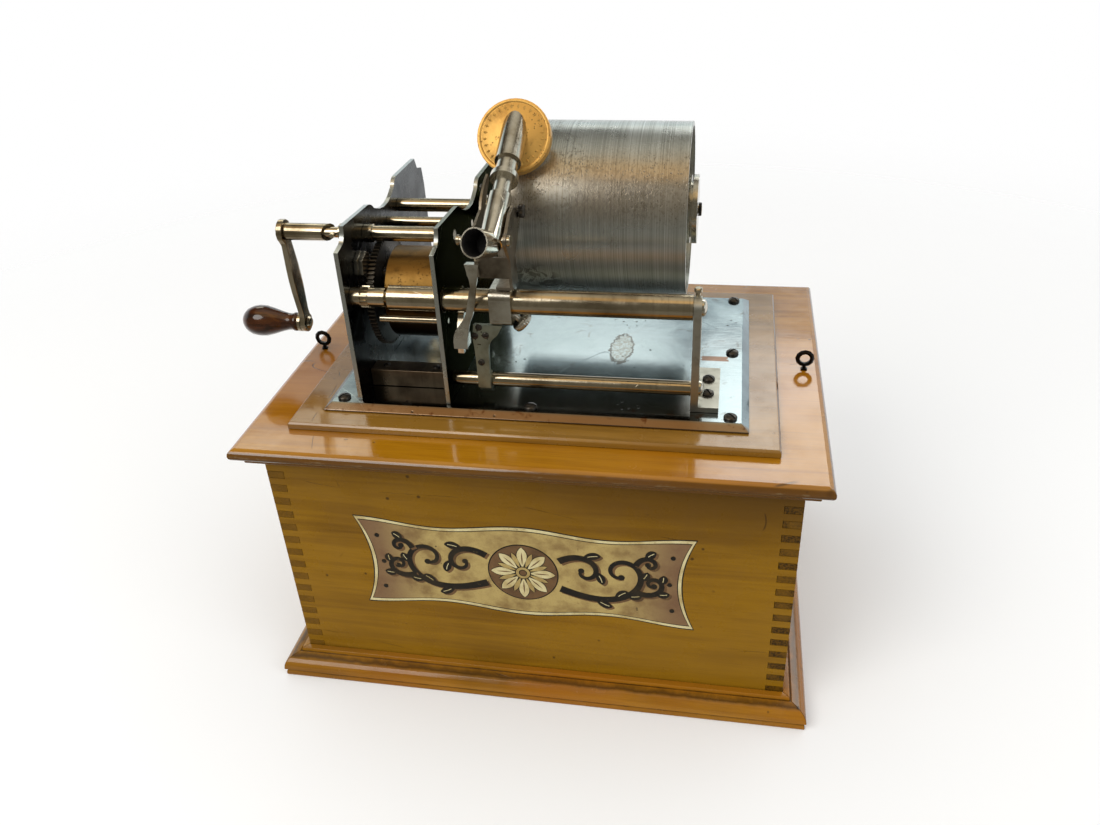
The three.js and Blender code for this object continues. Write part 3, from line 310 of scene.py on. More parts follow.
def varnished_wood(name, along, tones, end_grain, gloss, coat, orange=None, nose=None, level=0.5,
                   lid_shade=False, dirt_and_shade_grooves=()):
    """Varnished softwood. along is the grain's axis, 0 for X and 1 for Y. tones are light, middle and dark.
    nose gives the heights in metres between which an edge is grimy, and pale chips follow its upper one.
    level is the strength of the mirror-like part of the surface. lid_shade darkens the top of a wall
    with painted shade from the lid above it, most toward the right.
    grooves are the heights in metres where grime has settled in the moulding and painted shade darkens it."""
    light, middle, dark = tones
    f = Finish(name)
    x, _, z = f.parts(f.place)

    def along_grain(slow, fast):
        return tuple(slow if axis == along else fast for axis in range(3))

    streaks = f.noise(1.0, 4.0, 0.62, 0.8, vector=f.stretched(along_grain(3.2, 88.0)))
    fibres = f.noise(1.0, 3.0, 0.65, vector=f.stretched(along_grain(30.0, 1300.0)))
    cloud = f.noise(9.0, 3.0, 0.55)
    figure = f.maths("ADD", f.product(streaks, 0.6), f.product(cloud, 0.4))
    base = f.ramp(figure, (0.26, dark), (0.42, middle), (0.56, light), (0.74, middle))
    base = f.tint(base, f.span(fibres, 0.5, 0.74, 0.0, 0.32), dark)
    if orange:
        base = f.tint(base, f.span(f.noise(5.5, 2.0), 0.4, 0.66, 0.0, 0.6), orange)
    # Painted shade of the lid: the top of a wall darkens, most toward the right.
    if lid_shade:
        base = f.tint(base, f.product(f.span(z, 0.12, 0.195), f.span(x, -0.25, 0.19, 0.2, 0.95)), dark)
    is_end = f.span(f.maths("ABSOLUTE", f.parts(f.facing)[along]), 0.6, 0.75)
    ends = f.blend(f.span(f.noise(700.0, 2.0, 0.6), 0.4, 0.6), linear(end_grain), linear(dark))
    ends = f.tint(ends, f.span(f.noise(60.0, 2.0), 0.42, 0.64, 0.0, 0.45), middle)
    ends = f.tint(ends, f.span(x, 0.05, -0.15, 0.0, 0.55), middle)
    base = f.blend(is_end, base, ends)
    scratch = f.hairlines(5.0, along_grain(0.5, 1.8), 0.0012, (0.2, 0.3, 0.35))
    nick = f.hairlines(3.2, (1.0, 1.2, 0.8), 0.0011, (0.9, 0.1, 0.5))
    marks = f.product(f.maths("MAXIMUM", scratch, nick), f.span(f.noise(30.0, 2.0), 0.54, 0.61))
    base = f.tint(base, f.product(marks, 0.75), "#35220c")
    dents = f.specks(90.0, 0.15, 0.42)
    base = f.tint(base, f.product(dents, 0.75), "#33220f")
    if nose:
        low, high = nose
        ragged = f.maths("ADD", z, f.product(f.noise(60.0, 4.0, 0.7), 0.003))
        grime = f.span(ragged, high + 0.0016, high + 0.0004)
        drifts = f.noise(1.0, 4.0, 0.7, vector=f.stretched(along_grain(26.0, 300.0)))
        patchy = f.span(drifts, 0.34, 0.56, 0.45, 0.9)
        base = f.tint(base, f.product(grime, patchy, f.span(z, low - 0.001, low)), "#4e3d1c")
        chips = f.noise(1.0, 4.0, 0.7, vector=f.stretched(along_grain(70.0, 300.0)))
        broken = f.span(chips, 0.57, 0.62)
        line = f.band(ragged, high + 0.0006, high + 0.0022, 0.0003)
        base = f.tint(base, f.product(line, broken, 0.8), "#cdb98a")
        # From a little above the upper height downward, the wood is much darker brown.
        base = f.tint(base, f.span(z, high + 0.0042, high + 0.0026, 0.0, 0.88), "#4d2f0a")
    # Grime in the moulding's grooves, and painted shade in its creases.
    for height in dirt_and_shade_grooves:
        off = f.maths("ADD", z, f.product(f.noise(90.0, 3.0, 0.6), 0.0016))
        groove_dirt_and_shade = f.band(off, height + 0.0002, height + 0.0014, 0.0007)
        base = f.tint(base, f.product(groove_dirt_and_shade, 0.75), "#2c1c0a")
    ripple = f.noise(1.0, 3.0, 0.6, vector=f.stretched(along_grain(18.0, 260.0)))
    f.dented((ripple, 0.00006), (f.maths("MAXIMUM", marks, dents), -0.00012), (f.noise(45.0, 2.0), 0.0003))
    rough = f.span(f.noise(34.0, 4.0, 0.65), 0.35, 0.7, gloss, gloss + 0.16)
    return f.set(base_color=base, roughness=rough, coat_weight=coat, coat_roughness=gloss * 0.5,
                 specular_ior_level=level)


EVEN_LAY = (180.0, 180.0, 180.0)


def worked_steel(name, tone, stain, rough, lay, pits, patina=0.35, edge_tone=None, painted_shade_heights=None, rim=None):
    """Bare or blued steel: cloudy tone, stains, the fine lines of its working, smudges and pits.
    lay gives the stretch of the working lines; edge_tone colours the faces that don't look along X; oily
    gives the heights in metres between which painted shade darkens the surface downward. rim colours what
    a face seen nearly edge-on reflects."""
    f = Finish(name)
    cloud = f.noise(26.0, 4.0, 0.6)
    base = f.ramp(cloud, (0.3, stain), (0.5, tone), (0.8, tone))
    base = f.tint(base, f.span(f.noise(70.0, 5.0, 0.7, 0.4), 0.56, 0.72, 0.0, patina), stain)
    lines = f.noise(1.0, 3.0, 0.7, vector=f.stretched(lay))
    base = f.tint(base, f.span(lines, 0.52, 0.75, 0.0, 0.3), stain)
    # Painted shade: the surface darkens toward the bottom.
    if painted_shade_heights:
        high, low = painted_shade_heights
        base = f.tint(base, f.span(f.parts(f.place)[2], high, low, 0.0, 0.85), "#0e0f10")
    if edge_tone:
        across = f.span(f.maths("ABSOLUTE", f.parts(f.facing)[0]), 0.75, 0.6)
        base = f.tint(base, across, edge_tone)
    scratch = f.hairlines(9.0, (1.0, 1.4, 1.1), 0.0012, (0.4, 0.2, 0.9))
    hole = f.specks(420.0, 0.3, pits)
    base = f.tint(base, f.product(hole, 0.85), "#1d1a17")
    f.dented((lines, 0.00003), (scratch, -0.00003), (hole, -0.0001))
    smudge = f.span(f.noise(48.0, 4.0, 0.65), 0.35, 0.68, *rough)
    if rim:
        f.set(specular_tint=linear(rim))
    return f.set(base_color=base, metallic=1.0, roughness=smudge)


def turned_mandrel_metal():
    """The mandrel: close even turning lines round the drum, a painted warm reflection in a band across
    its front, and dark pits in drifts.
    """
    f = Finish("mandrel_turned_metal")
    _, y, z = f.parts(f.place)
    rings = f.noise(1.0, 3.0, 0.8, vector=f.stretched((1500.0, 3.5, 3.5)))
    broad = f.noise(1.0, 3.0, 0.6, vector=f.stretched((260.0, 9.0, 9.0)))
    lines = f.maths("ADD", f.product(rings, 0.8), f.product(broad, 0.2))
    base = f.ramp(lines, (0.36, "#8d918d"), (0.5, "#b0b4b0"), (0.64, "#cdd2d0"))
    # Painted warm reflection in a band across the drum's front; the pits gather there too.
    brown = f.product(f.band(z, 0.335, 0.372, 0.012), f.span(y, 0.045, 0.01))
    painted_warm_reflection = f.product(brown, f.span(f.noise(16.0, 3.0, 0.6), 0.3, 0.62, 0.25, 0.6))
    base = f.tint(base, painted_warm_reflection, "#a38e70")
    drift = f.maths("MAXIMUM", f.product(brown, 0.7), f.span(f.noise(24.0, 3.0, 0.6), 0.5, 0.66))
    pit = f.span(f.cells(640.0, f.stretched((1.0, 0.7, 0.7))), 0.34, 0.2)
    some = f.product(pit, drift, f.span(f.noise(260.0, 3.0, 0.7), 0.46, 0.54))
    base = f.tint(base, f.product(some, 0.85), "#2f2922")
    stain = f.product(f.span(f.apart(MANDREL_STAIN), 0.022, 0.012),
                      f.span(f.noise(90.0, 3.0, 0.6, 1.5), 0.46, 0.5))
    base = f.tint(base, f.product(stain, 0.6), "#45423c")
    grime = f.noise(520.0, 3.0, 0.75, vector=f.stretched((1.0, 0.6, 0.6)))
    mottle = f.product(drift, f.span(grime, 0.5, 0.6))
    base = f.tint(base, f.product(mottle, 0.5), "#5d503f")
    f.dented((rings, 0.000012), (some, -0.00008))
    return f.set(base_color=base, metallic=0.9, roughness=f.span(f.noise(20.0, 3.0), 0.3, 0.7, 0.24, 0.32))


def bed_steel():
    """The bedplate: scraped steel, dark stains and pale rubbed places, rust brown near its front bevel, a
    painted dark reflection over its front part, and a painted brown reflection along its front bevel.
    """
    f = Finish("bedplate_steel")
    x, y, _ = f.parts(f.place)
    cloud = f.noise(15.0, 5.0, 0.6, 0.3)
    base = f.ramp(cloud, (0.3, "#7c8589"), (0.47, "#8d9a9f"), (0.62, "#a0aeb2"), (0.8, "#949fa1"))
    base = f.tint(base, f.span(f.noise(52.0, 5.0, 0.72, 0.8), 0.6, 0.7, 0.0, 0.5), "#5a544a")
    # Painted dark reflection over the front part of the plate.
    painted_front_reflection = f.product(f.span(y, -0.02, -0.085, 0.0, 0.8), f.band(x, -0.124, 0.116, 0.012))
    base = f.tint(base, painted_front_reflection, "#43382a")
    # Painted brown reflection along the front bevel; the rust below is the plate's own.
    base = f.tint(base, f.span(y, -0.0935, -0.0965, 0.0, 0.7), "#8a6d50")
    rust = f.span(f.noise(120.0, 4.0, 0.7), 0.56, 0.7)
    base = f.tint(base, f.product(rust, f.span(y, -0.07, -0.095)), "#5a3a20")
    ragged = f.product(f.noise(260.0, 4.0), 0.006)
    across = f.maths("SUBTRACT", x, RUBBED_PLACE[0])
    along = f.maths("SUBTRACT", y, RUBBED_PLACE[1])
    oblong = f.maths("ADD", f.product(across, across), f.product(along, along, 0.14))
    rubbed = f.maths("ADD", f.maths("SQRT", oblong), ragged)
    scrawl = f.span(f.noise(430.0, 4.0, 0.7, 0.6), 0.42, 0.6, 0.2, 0.75)
    base = f.tint(base, f.product(f.span(rubbed, 0.0112, 0.0098), scrawl), "#6f6e64")
    base = f.tint(base, f.product(f.band(rubbed, 0.0104, 0.0117, 0.0005), 0.85), "#45423c")
    torn = f.product(f.noise(420.0, 3.0), 0.009)
    frayed = f.maths("ADD", f.apart(TORN_PLACE), torn)
    sliver = f.product(f.span(frayed, 0.0145, 0.0135), f.band(y, -0.0125, -0.0055, 0.0008), 0.9)
    base = f.tint(base, sliver, "#5f4029")
    specks = f.specks(190.0, 0.22, 0.42)
    base = f.tint(base, f.product(specks, 0.8), "#2c2620")
    lines = f.noise(1.0, 3.0, 0.7, vector=f.stretched((14.0, 420.0, 14.0)))
    scratch = f.hairlines(7.0, (1.0, 1.0, 1.0), 0.001, (0.1, 0.2, 0.6))
    f.dented((lines, 0.00002), (specks, -0.0001), (scratch, -0.00003), (f.noise(38.0, 3.0), 0.00012))
    return f.set(base_color=base, metallic=1.0, roughness=f.span(cloud, 0.3, 0.7, 0.1, 0.22))


def golden_brass(name, tone="#c99a45", dull="#9a7838", rough=(0.26, 0.42), metallic=1.0, painted_shade_heights=None):
    """Old brass or bronze. oily gives the heights in metres between which painted shade
    darkens it downward.
    """
    f = Finish(name)
    cloud = f.noise(55.0, 5.0, 0.65, 0.4)
    base = f.ramp(cloud, (0.32, dull), (0.5, tone), (0.7, tone))
    base = f.tint(base, f.span(f.noise(170.0, 4.0, 0.7), 0.58, 0.72, 0.0, 0.6), "#6b5228")
    spots = f.specks(500.0, 0.3, 0.5)
    base = f.tint(base, f.product(spots, 0.7), "#4b381c")
    # Painted shade: the metal darkens toward the bottom.
    if painted_shade_heights:
        high, low = painted_shade_heights
        base = f.tint(base, f.span(f.parts(f.place)[2], high, low, 0.0, 0.92), "#181209")
    f.dented((f.noise(420.0, 3.0), 0.00005), (spots, -0.00008), (f.noise(90.0, 2.0), 0.0002))
    return f.set(base_color=base, metallic=metallic, roughness=f.span(cloud, 0.3, 0.7, *rough))


def lacquered_grip():
    """The grip: dark red-brown lacquer, streaked along its length and rubbed lighter in places."""
    f = Finish("grip_lacquer")
    streak = f.noise(1.0, 4.0, 0.6, 0.5, vector=f.stretched((28.0, 240.0, 240.0)))
    base = f.ramp(streak, (0.32, "#1f0e04"), (0.52, "#3b1c09"), (0.72, "#57300e"))
    base = f.tint(base, f.span(f.noise(60.0, 4.0), 0.58, 0.7, 0.0, 0.4), "#623a18")
    f.dented((streak, 0.00006), (f.noise(120.0, 3.0), 0.0001))
    rough = f.span(f.noise(80.0, 3.0), 0.35, 0.7, 0.1, 0.24)
    return f.set(base_color=base, roughness=rough, coat_weight=0.6, coat_roughness=0.05,
                 specular_ior_level=0.3)


def oiled_black(name, tone, glint, rough):
    """Blackened screw metal with rubbed glints."""
    f = Finish(name)
    cloud = f.noise(240.0, 4.0, 0.65)
    base = f.ramp(cloud, (0.35, tone), (0.6, tone), (0.76, glint))
    f.dented((f.noise(700.0, 3.0), 0.00004), (cloud, 0.00005))
    return f.set(base_color=base, metallic=0.9, roughness=f.span(cloud, 0.3, 0.7, *rough))


def ornament_ink(name, colour, shade, spots, shade_ends=False):
    """The ornament's colour under old varnish: a soft shade, a fine grain and dark age spots. spots is
    their share. shade_ends darkens it toward both ends of the ornament."""
    f = Finish(name)
    base = f.blend(f.span(f.noise(46.0, 4.0, 0.6), 0.4, 0.7), linear(colour), linear(shade))
    if shade_ends:
        offset = f.maths("SUBTRACT", f.parts(f.place)[0], ORNAMENT_CENTRE[0] * MM)
        from_middle = f.maths("ABSOLUTE", offset)
        base = f.tint(base, f.span(from_middle, 0.062, 0.112, 0.0, 0.85), "#6b4a34")
    grain = f.noise(1500.0, 2.0, 0.6)
    base = f.tint(base, f.span(grain, 0.52, 0.7, 0.0, 0.3), shade)
    base = f.tint(base, f.product(f.specks(260.0, 0.26, spots), 0.75), "#33230f")
    base = f.tint(base, f.span(f.noise(150.0, 5.0, 0.75), 0.62, 0.7, 0.0, 0.6), "#7a6030")
    f.dented((grain, 0.00002), (f.noise(45.0, 2.0), 0.0003))
    return f.set(base_color=base, roughness=f.span(grain, 0.3, 0.7, 0.32, 0.44), coat_weight=0.2)


def pale_mica():
    """The diaphragm: a thin pale sheet with darker veins."""
    f = Finish("mica_sheet")
    veins = f.noise(210.0, 5.0, 0.7, 1.2)
    base = f.ramp(veins, (0.3, "#b9ae95"), (0.55, "#d6cfbd"), (0.75, "#c4bba4"))
    f.dented((veins, 0.00005), (f.noise(60.0, 2.0), 0.0001))
    return f.set(base_color=base, roughness=f.span(veins, 0.3, 0.7, 0.16, 0.3), coat_weight=0.5)


def bore_shade_black():
    """A matt black that stands for the shade inside the horn's elbow: painted shade."""
    f = Finish("painted_bore_shade")
    cloud = f.noise(300.0, 3.0)
    base = f.ramp(cloud, (0.3, "#060505"), (0.7, "#15120f"))
    f.dented((cloud, 0.00005))
    return f.set(base_color=base, roughness=f.span(cloud, 0.3, 0.7, 0.6, 0.85))


# Forms.

def settled(name, mesh, finish, body, smooth_angle):
    """A piece from a mesh, which rides on its body, shaded smooth except across edges sharper than
    smooth_angle."""
    mesh.polygons.foreach_set("use_smooth", np.ones(len(mesh.polygons), bool))
    mesh.set_sharp_from_angle(angle=math.radians(smooth_angle))
    mesh.materials.clear()
    mesh.materials.append(finish)
    made = bpy.data.objects.new(name, mesh)
    SCENE.collection.objects.link(made)
    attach(made, body)
    return made


def joined(name, parts, finish, body, smooth_angle=40.0):
    """One piece from several closed forms, each given as its points in metres and its faces."""
    faces, start = [], 0
    for points, part_faces in parts:
        faces.extend([[i + start for i in face] for face in part_faces])
        start += len(points)
    mesh = bpy.data.meshes.new(name)
    mesh.from_pydata(np.concatenate([points for points, _ in parts]).tolist(), [], faces)
    return settled(name, mesh, finish, body, smooth_angle)


def frame_about(axis):
    """The axis as a unit vector, and two more at right angles to it and to each other."""
    axis = np.asarray(axis, float) / np.linalg.norm(axis)
    side = np.cross(axis, (0.0, 0.0, 1.0) if abs(axis[2]) < 0.9 else (1.0, 0.0, 0.0))
    side /= np.linalg.norm(side)
    return axis, side, np.cross(axis, side)


def revolved(profile, place, axis, steps, wave=None):
    """A closed form of revolution: at each (distance, radius) of the profile, a circle of steps points
    about the axis, point = place + distance * axis + radius * (cos a * side + sin a * over). The profile
    begins and ends at radius 0, where the form is closed. wave(distance, angle) is added to the radius, as
    for a knurl or a thread."""
    axis, side, over = frame_about(axis)
    profile = np.asarray(profile, float)
    angle = np.linspace(0, 2 * math.pi, steps, endpoint=False)
    distance, radius = profile[:, :1], profile[:, 1:] + np.zeros(steps)
    if wave:
        radius = radius + wave(distance, angle[None, :]) * (profile[:, 1:] > 0)
    circle = np.cos(angle)[None, :, None] * side + np.sin(angle)[None, :, None] * over
    points = np.asarray(place, float) + (distance[..., None] * axis + radius[..., None] * circle)
    rows = len(profile)
    grid = np.arange(rows * steps).reshape(rows, steps)
    for row in (0, -1):
        grid[row] = grid[row, 0]
    low, high = grid[:-1], grid[1:]
    quads = np.stack([low, np.roll(low, -1, 1), np.roll(high, -1, 1), high], -1).reshape(-1, 4)
    faces = [list(dict.fromkeys(quad)) for quad in quads.tolist()]
    return matched_out(points.reshape(-1, 3) * MM, [face for face in faces if len(face) > 2])


def matched_out(points, faces):
    """Drops unused points, and makes the windings of a closed form agree and look outwards."""
    used = np.unique(np.concatenate([np.asarray(face) for face in faces]))
    number = np.full(len(points), -1)
    number[used] = np.arange(len(used))
    mesh = bpy.data.meshes.new("scratch")
    mesh.from_pydata(points[used].tolist(), [], [number[face].tolist() for face in faces])
    work = bmesh.new()
    work.from_mesh(mesh)
    bmesh.ops.recalc_face_normals(work, faces=work.faces)
    ordered = [[vertex.index for vertex in face.verts] for face in work.faces]
    work.free()
    bpy.data.meshes.remove(mesh)
    return points[used], ordered


def screw_head(place, axis, radius, height, slot_turn):
    """A domed slotted head. A square grid (u, v) is pressed into a disc by x = u sqrt(1 - v^2 / 2) and
    y = v sqrt(1 - u^2 / 2); its height is a dome, less the slot's depth where |v| is within the slot. The
    slot's half width is a share of the radius."""
    axis, side, over = frame_about(axis)
    half = 0.14
    u = np.array([-1, -0.94, -0.75, -0.4, 0, 0.4, 0.75, 0.94, 1])
    v = np.array([-1, -0.94, -0.75, -0.4, -half - 0.01, -half, half, half + 0.01, 0.4, 0.75, 0.94, 1])
    uu, vv = np.meshgrid(u, v, indexing="ij")
    x, y = uu * np.sqrt(1 - vv ** 2 / 2), vv * np.sqrt(1 - uu ** 2 / 2)
    rise = height * (0.3 + 0.7 * np.sqrt(np.clip(1 - 0.98 * (x ** 2 + y ** 2), 0, 1)))
    rise = np.where(np.abs(vv) <= half + 1e-9, np.minimum(rise, 0.48 * height), rise)
    east = math.cos(slot_turn) * side + math.sin(slot_turn) * over
    north = -math.sin(slot_turn) * side + math.cos(slot_turn) * over
    top = np.asarray(place) + radius * (x[..., None] * east + y[..., None] * north) + rise[..., None] * axis
    rows, columns = top.shape[:2]
    index = np.arange(rows * columns).reshape(rows, columns)
    rim = np.concatenate([index[0, :], index[1:, -1], index[-1, -2::-1], index[-2:0:-1, 0]])
    flat = top.reshape(-1, 3)
    base = flat[rim] - ((flat[rim] - np.asarray(place)) @ axis)[:, None] * axis
    points = np.concatenate([flat, base])
    low = np.arange(len(flat), len(flat) + len(rim))
    quads = np.stack([index[:-1, :-1], index[1:, :-1], index[1:, 1:], index[:-1, 1:]], -1).reshape(-1, 4)
    skirt = np.stack([rim, np.roll(rim, -1), np.roll(low, -1), low], 1)
    return matched_out(points * MM, quads.tolist() + skirt.tolist() + [low.tolist()])


def screws(name, body, finish, rows, axis):
    """Slotted heads on one face, each as (place, radius, height, turn of its slot)."""
    heads = [screw_head(place, axis, radius, height, turn) for place, radius, height, turn in rows]
    return joined(name, heads, finish, body, 38.0)


BEVELLED_ANGLE = 62.0


def dressed(name, finish, edge, smooth_angle):
    """The node's own form as a clean piece: its loose triangles joined, flat faces made whole, and its
    sharp edges rounded by edge millimetres. It replaces the node."""
    node = frame["nodes"][name]
    mesh = node.data.copy()
    if "custom_normal" in mesh.attributes:
        mesh.attributes.remove(mesh.attributes["custom_normal"])
    work = bmesh.new()
    work.from_mesh(mesh)
    bmesh.ops.remove_doubles(work, verts=work.verts, dist=2e-6)
    bmesh.ops.dissolve_degenerate(work, edges=work.edges, dist=1e-6)
    bmesh.ops.dissolve_limit(work, angle_limit=math.radians(1.0), verts=work.verts, edges=work.edges)
    if edge:
        limit = math.radians(smooth_angle)
        sharp = [e for e in work.edges if len(e.link_faces) == 2 and e.calc_face_angle(0) > limit]
        bmesh.ops.bevel(work, geom=sharp, offset=edge * MM, segments=2, profile=0.5, affect="EDGES",
                        clamp_overlap=True, harden_normals=False)
    bmesh.ops.triangulate(work, faces=[f for f in work.faces if len(f.verts) > 4])
    work.to_mesh(mesh)
    work.free()
    shading = BEVELLED_ANGLE if edge else smooth_angle
    made = settled(name + "_form", mesh, finish, node["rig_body"], shading)
    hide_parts(name)
    if edge:
        even = made.modifiers.new("even_faces", "WEIGHTED_NORMAL")
        even.keep_sharp = True
        even.weight = 60
    return made


# The painted ornament on the case.

def ribbon(line, half_widths, high):
    """A flat band on the front face, high proud of it: a box section carried along a line in X-Z. Each
    point's sides lie half a width to either side, at right angles to the line's own direction."""
    line = np.asarray(line, float)
    half = np.broadcast_to(half_widths, len(line))[:, None]
    way = np.gradient(line, axis=0)
    way /= np.maximum(np.linalg.norm(way, axis=1, keepdims=True), 1e-9)
    across = np.stack([-way[:, 1], way[:, 0]], 1) * half
    left, right = line + across, line - across
    sections = [np.column_stack([edge[:, 0], np.full(len(line), FRONT_FACE - depth), edge[:, 1]])
                for edge, depth in ((left, 0.0), (left, high), (right, high), (right, 0.0))]
    points = np.stack(sections, 1).reshape(-1, 3)
    start = np.arange(len(line) - 1)[:, None] * 4
    corner, following = np.arange(4)[None, :], (np.arange(4)[None, :] + 1) % 4
    sides = np.stack([start + corner, start + following, start + 4 + following, start + 4 + corner], -1)
    last = 4 * (len(line) - 1)
    faces = sides.reshape(-1, 4).tolist() + [[3, 2, 1, 0], [last, last + 1, last + 2, last + 3]]
    return matched_out(points * MM, faces)


def plaque(outline, high):
    """A filled flat shape, high proud of the front face: the outline drawn in towards its centre in
    rings."""
    outline = np.asarray(outline, float)
    centre, count = outline.mean(0), len(outline)
    rows = [np.column_stack([outline[:, 0], np.full(count, FRONT_FACE), outline[:, 1]])]
    for share in (1.0, 0.66, 0.33):
        ring = centre + (outline - centre) * share
        rows.append(np.column_stack([ring[:, 0], np.full(count, FRONT_FACE - high), ring[:, 1]]))
    ends = [[centre[0], FRONT_FACE - depth, centre[1]] for depth in (high, 0.0)]
    points = np.concatenate(rows + [ends])
    grid = np.arange(4 * count).reshape(4, count)
    nxt = np.roll(grid, -1, axis=1)
    faces = np.stack([grid[:-1], nxt[:-1], nxt[1:], grid[1:]], -1).reshape(-1, 4).tolist()
    faces += np.stack([grid[3], nxt[3], np.full(count, 4 * count)], 1).tolist()
    faces += np.stack([nxt[0], grid[0], np.full(count, 4 * count + 1)], 1).tolist()
    return matched_out(points * MM, faces)


def round_outline(centre, radius, count):
    angle = np.linspace(0, 2 * math.pi, count, endpoint=False)
    return np.column_stack([centre[0] + radius * np.cos(angle), centre[1] + radius * np.sin(angle)])


def cartouche(half_x, half_z):
    """A wide panel, waisted twice above and below, and hollow at its ends. Above and below, its height is
    half_z (0.93 + 0.07 cos(4 pi x / width)); each end is a parabola that dips inward."""
    cx, cz = ORNAMENT_CENTRE
    x = np.linspace(half_x, -half_x, 72)
    top = np.column_stack([x, half_z * (0.93 + 0.07 * np.cos(2 * math.pi * x / half_x))])
    z = np.linspace(1, -1, 26)[1:-1]
    left = np.column_stack([-half_x * (1 - 0.075 * (1 - z ** 2)), half_z * z])
    return np.concatenate([top, left, -top, -left]) + (cx, cz)


def curl(start, heading, length, turns, tightness, count):
    """A volute of count points: the heading turns by turns whole circles over the length, faster towards
    its end, where the steps are shorter."""
    share = np.linspace(0, 1, count)
    direction = math.radians(heading) + 2 * math.pi * turns * share ** tightness
    step = length / count * (1.05 - 0.72 * share)
    moves = np.column_stack([np.cos(direction), np.sin(direction)]) * step[:, None]
    return np.asarray(start, float) + np.cumsum(moves, 0)


def painted_ornament(inks):
    """A waisted cream panel with a pale border, a rosette in its middle, and black leafy scrolls with a
    brown shadow to either side. Each layer stands a little further off the board than the one under it."""
    cx, cz = ORNAMENT_CENTRE
    layers = {"outline": [], "pale": [], "ground": [], "shade": []}

    def mirrored(points):
        return np.column_stack([2 * cx - points[:, 0], points[:, 1]])

    def stroke(points, widths, level):
        """A black stroke on both sides of the middle, over its brown shadow."""
        for side in (points, mirrored(points)):
            layers["shade"].append(ribbon(side + (1.6, -1.3), widths, 0.24 + level))
            layers["outline"].append(ribbon(side, widths, 0.32 + level))

    def leaf(start, heading, length, bend, widest, level):
        points = curl(start, heading, length, bend, 1.2, 22)
        share = np.linspace(0, 1, 22)
        stroke(points, 0.15 + widest * np.sin(math.pi * share ** 0.8) ** 0.9, level)
        vein = points[4:-6]
        for side in (vein, mirrored(vein)):
            layers["pale"].append(ribbon(side, 0.25, 0.36 + level))

    def dot(place, radius, level):
        for sign in (1, -1):
            spot = (cx + sign * (place[0] - cx), place[1])
            layers["outline"].append(plaque(round_outline(spot, radius, 16), 0.34 + level))

    borders = ((0.0, "outline", 0.05), (1.0, "pale", 0.1), (3.4, "outline", 0.14), (4.1, "ground", 0.18))
    for inset, ink, high in borders:
        layers[ink].append(plaque(cartouche(PANEL_HALF[0] - inset, PANEL_HALF[1] - inset), high))

    # The scrolls: a long stem that runs out and curls up, one above it that curls down, two more beyond
    # them, and their leaves: (line, half widths at its ends, marks along it with the side of each leaf).
    stem = curl((cx + 25, cz - 11.5), -21, 168, 1.12, 1.75, 110)
    scrolls = (
        (stem, (3.0, 1.2), ((17, -1), (27, 1), (34, -1), (50, -1))),
        (curl((cx + 25, cz + 12.5), 32, 79, -0.95, 1.45, 70), (2.7, 1.0), ((16, 1), (34, 1))),
        (curl(stem[40], -22, 66, 1.18, 1.45, 80), (2.4, 1.0), ((18, -1), (34, -1))),
        (curl(stem[64] + (1, 0), 66, 42, -1.0, 1.4, 56), (2.2, 0.9), ((13, 1),)),
    )
    level, long_leaf, short_leaf = 0.0, 20, 14.5
    for line, widths, marks in scrolls:
        stroke(line, np.linspace(*widths, len(line)), level)
        dot(line[-1], widths[1] + 1.2, level + 0.01)
        for number, (mark, side) in enumerate(marks):
            way = line[mark + 1] - line[mark - 1]
            heading = math.degrees(math.atan2(way[1], way[0])) + 36 * side
            length = (long_leaf if level < 0.1 else short_leaf) - 2.0 * number
            leaf(line[mark], heading, length, -0.1 * side, 3.0, level + 0.012 * (number + 2))
        level += 0.05
    # Three dots in a column near each end.
    for z in (-24, 0, 24):
        dot((cx + 105 - 2 * (z == 0), cz + z), 1.7, 0.2)

    # The rosette: eight wide petals, eight narrow ones between them, and a ringed boss.
    layers["outline"].append(plaque(round_outline((cx, cz), 25.5, 64), 0.3))
    layers["shade"].append(plaque(round_outline((cx, cz), 24.6, 64), 0.44))
    root = 4.5
    for k in range(16):
        wide = k % 2 == 0
        angle, reach = math.pi * k / 8, 23.0 if wide else 19.0
        share = np.linspace(0, 1, 18)
        outward = (math.cos(angle), math.sin(angle))
        petal = np.array([cx, cz]) + np.outer(root + (reach - root) * share, outward)
        width = 0.1 + (3.5 if wide else 1.6) * np.sin(math.pi * share ** 1.35) ** 0.85
        layers["outline"].append(ribbon(petal, width + 0.6, 0.48 + 0.01 * wide))
        layers["pale" if wide else "ground"].append(ribbon(petal, width, 0.52 + 0.01 * wide))
        if wide:
            vein = 0.5 * np.sin(math.pi * np.linspace(0.05, 0.95, 11))
            layers["shade"].append(ribbon(petal[3:14], vein, 0.56))
    boss = ((5.8, "outline", 0.6), (5.1, "ground", 0.63), (3.0, "outline", 0.66), (2.4, "shade", 0.69))
    for radius, ink, high in boss:
        layers[ink].append(plaque(round_outline((cx, cz), radius, 32), high))
    for name, parts in layers.items():
        joined("painted_" + name, parts, inks[name], "case_and_frame", 30.0)


# Small parts of the works.

def knurl(ridges, depth):
    """A wave of even ridges round a form of revolution."""
    return lambda distance, angle: depth * np.cos(ridges * angle)


def knurled_knob(name, place, axis, radius, thick, stem, finish, body):
    """A knurled head with rounded rims, on a stem that reaches back along the axis by stem."""
    half = thick / 2
    head = revolved([(-half, 0), (-half, radius - 0.9), (0.7 - half, radius), (half - 0.7, radius),
                     (half, radius - 0.9), (half + 0.3, 0)], place, axis, 96, knurl(24, 0.22))
    shank = revolved([(-stem, 0), (-stem, 2.1), (-half - 0.05, 2.1), (-half - 0.05, 0)], place, axis, 20)
    joined(name, [head, shank], finish, body, 50.0)


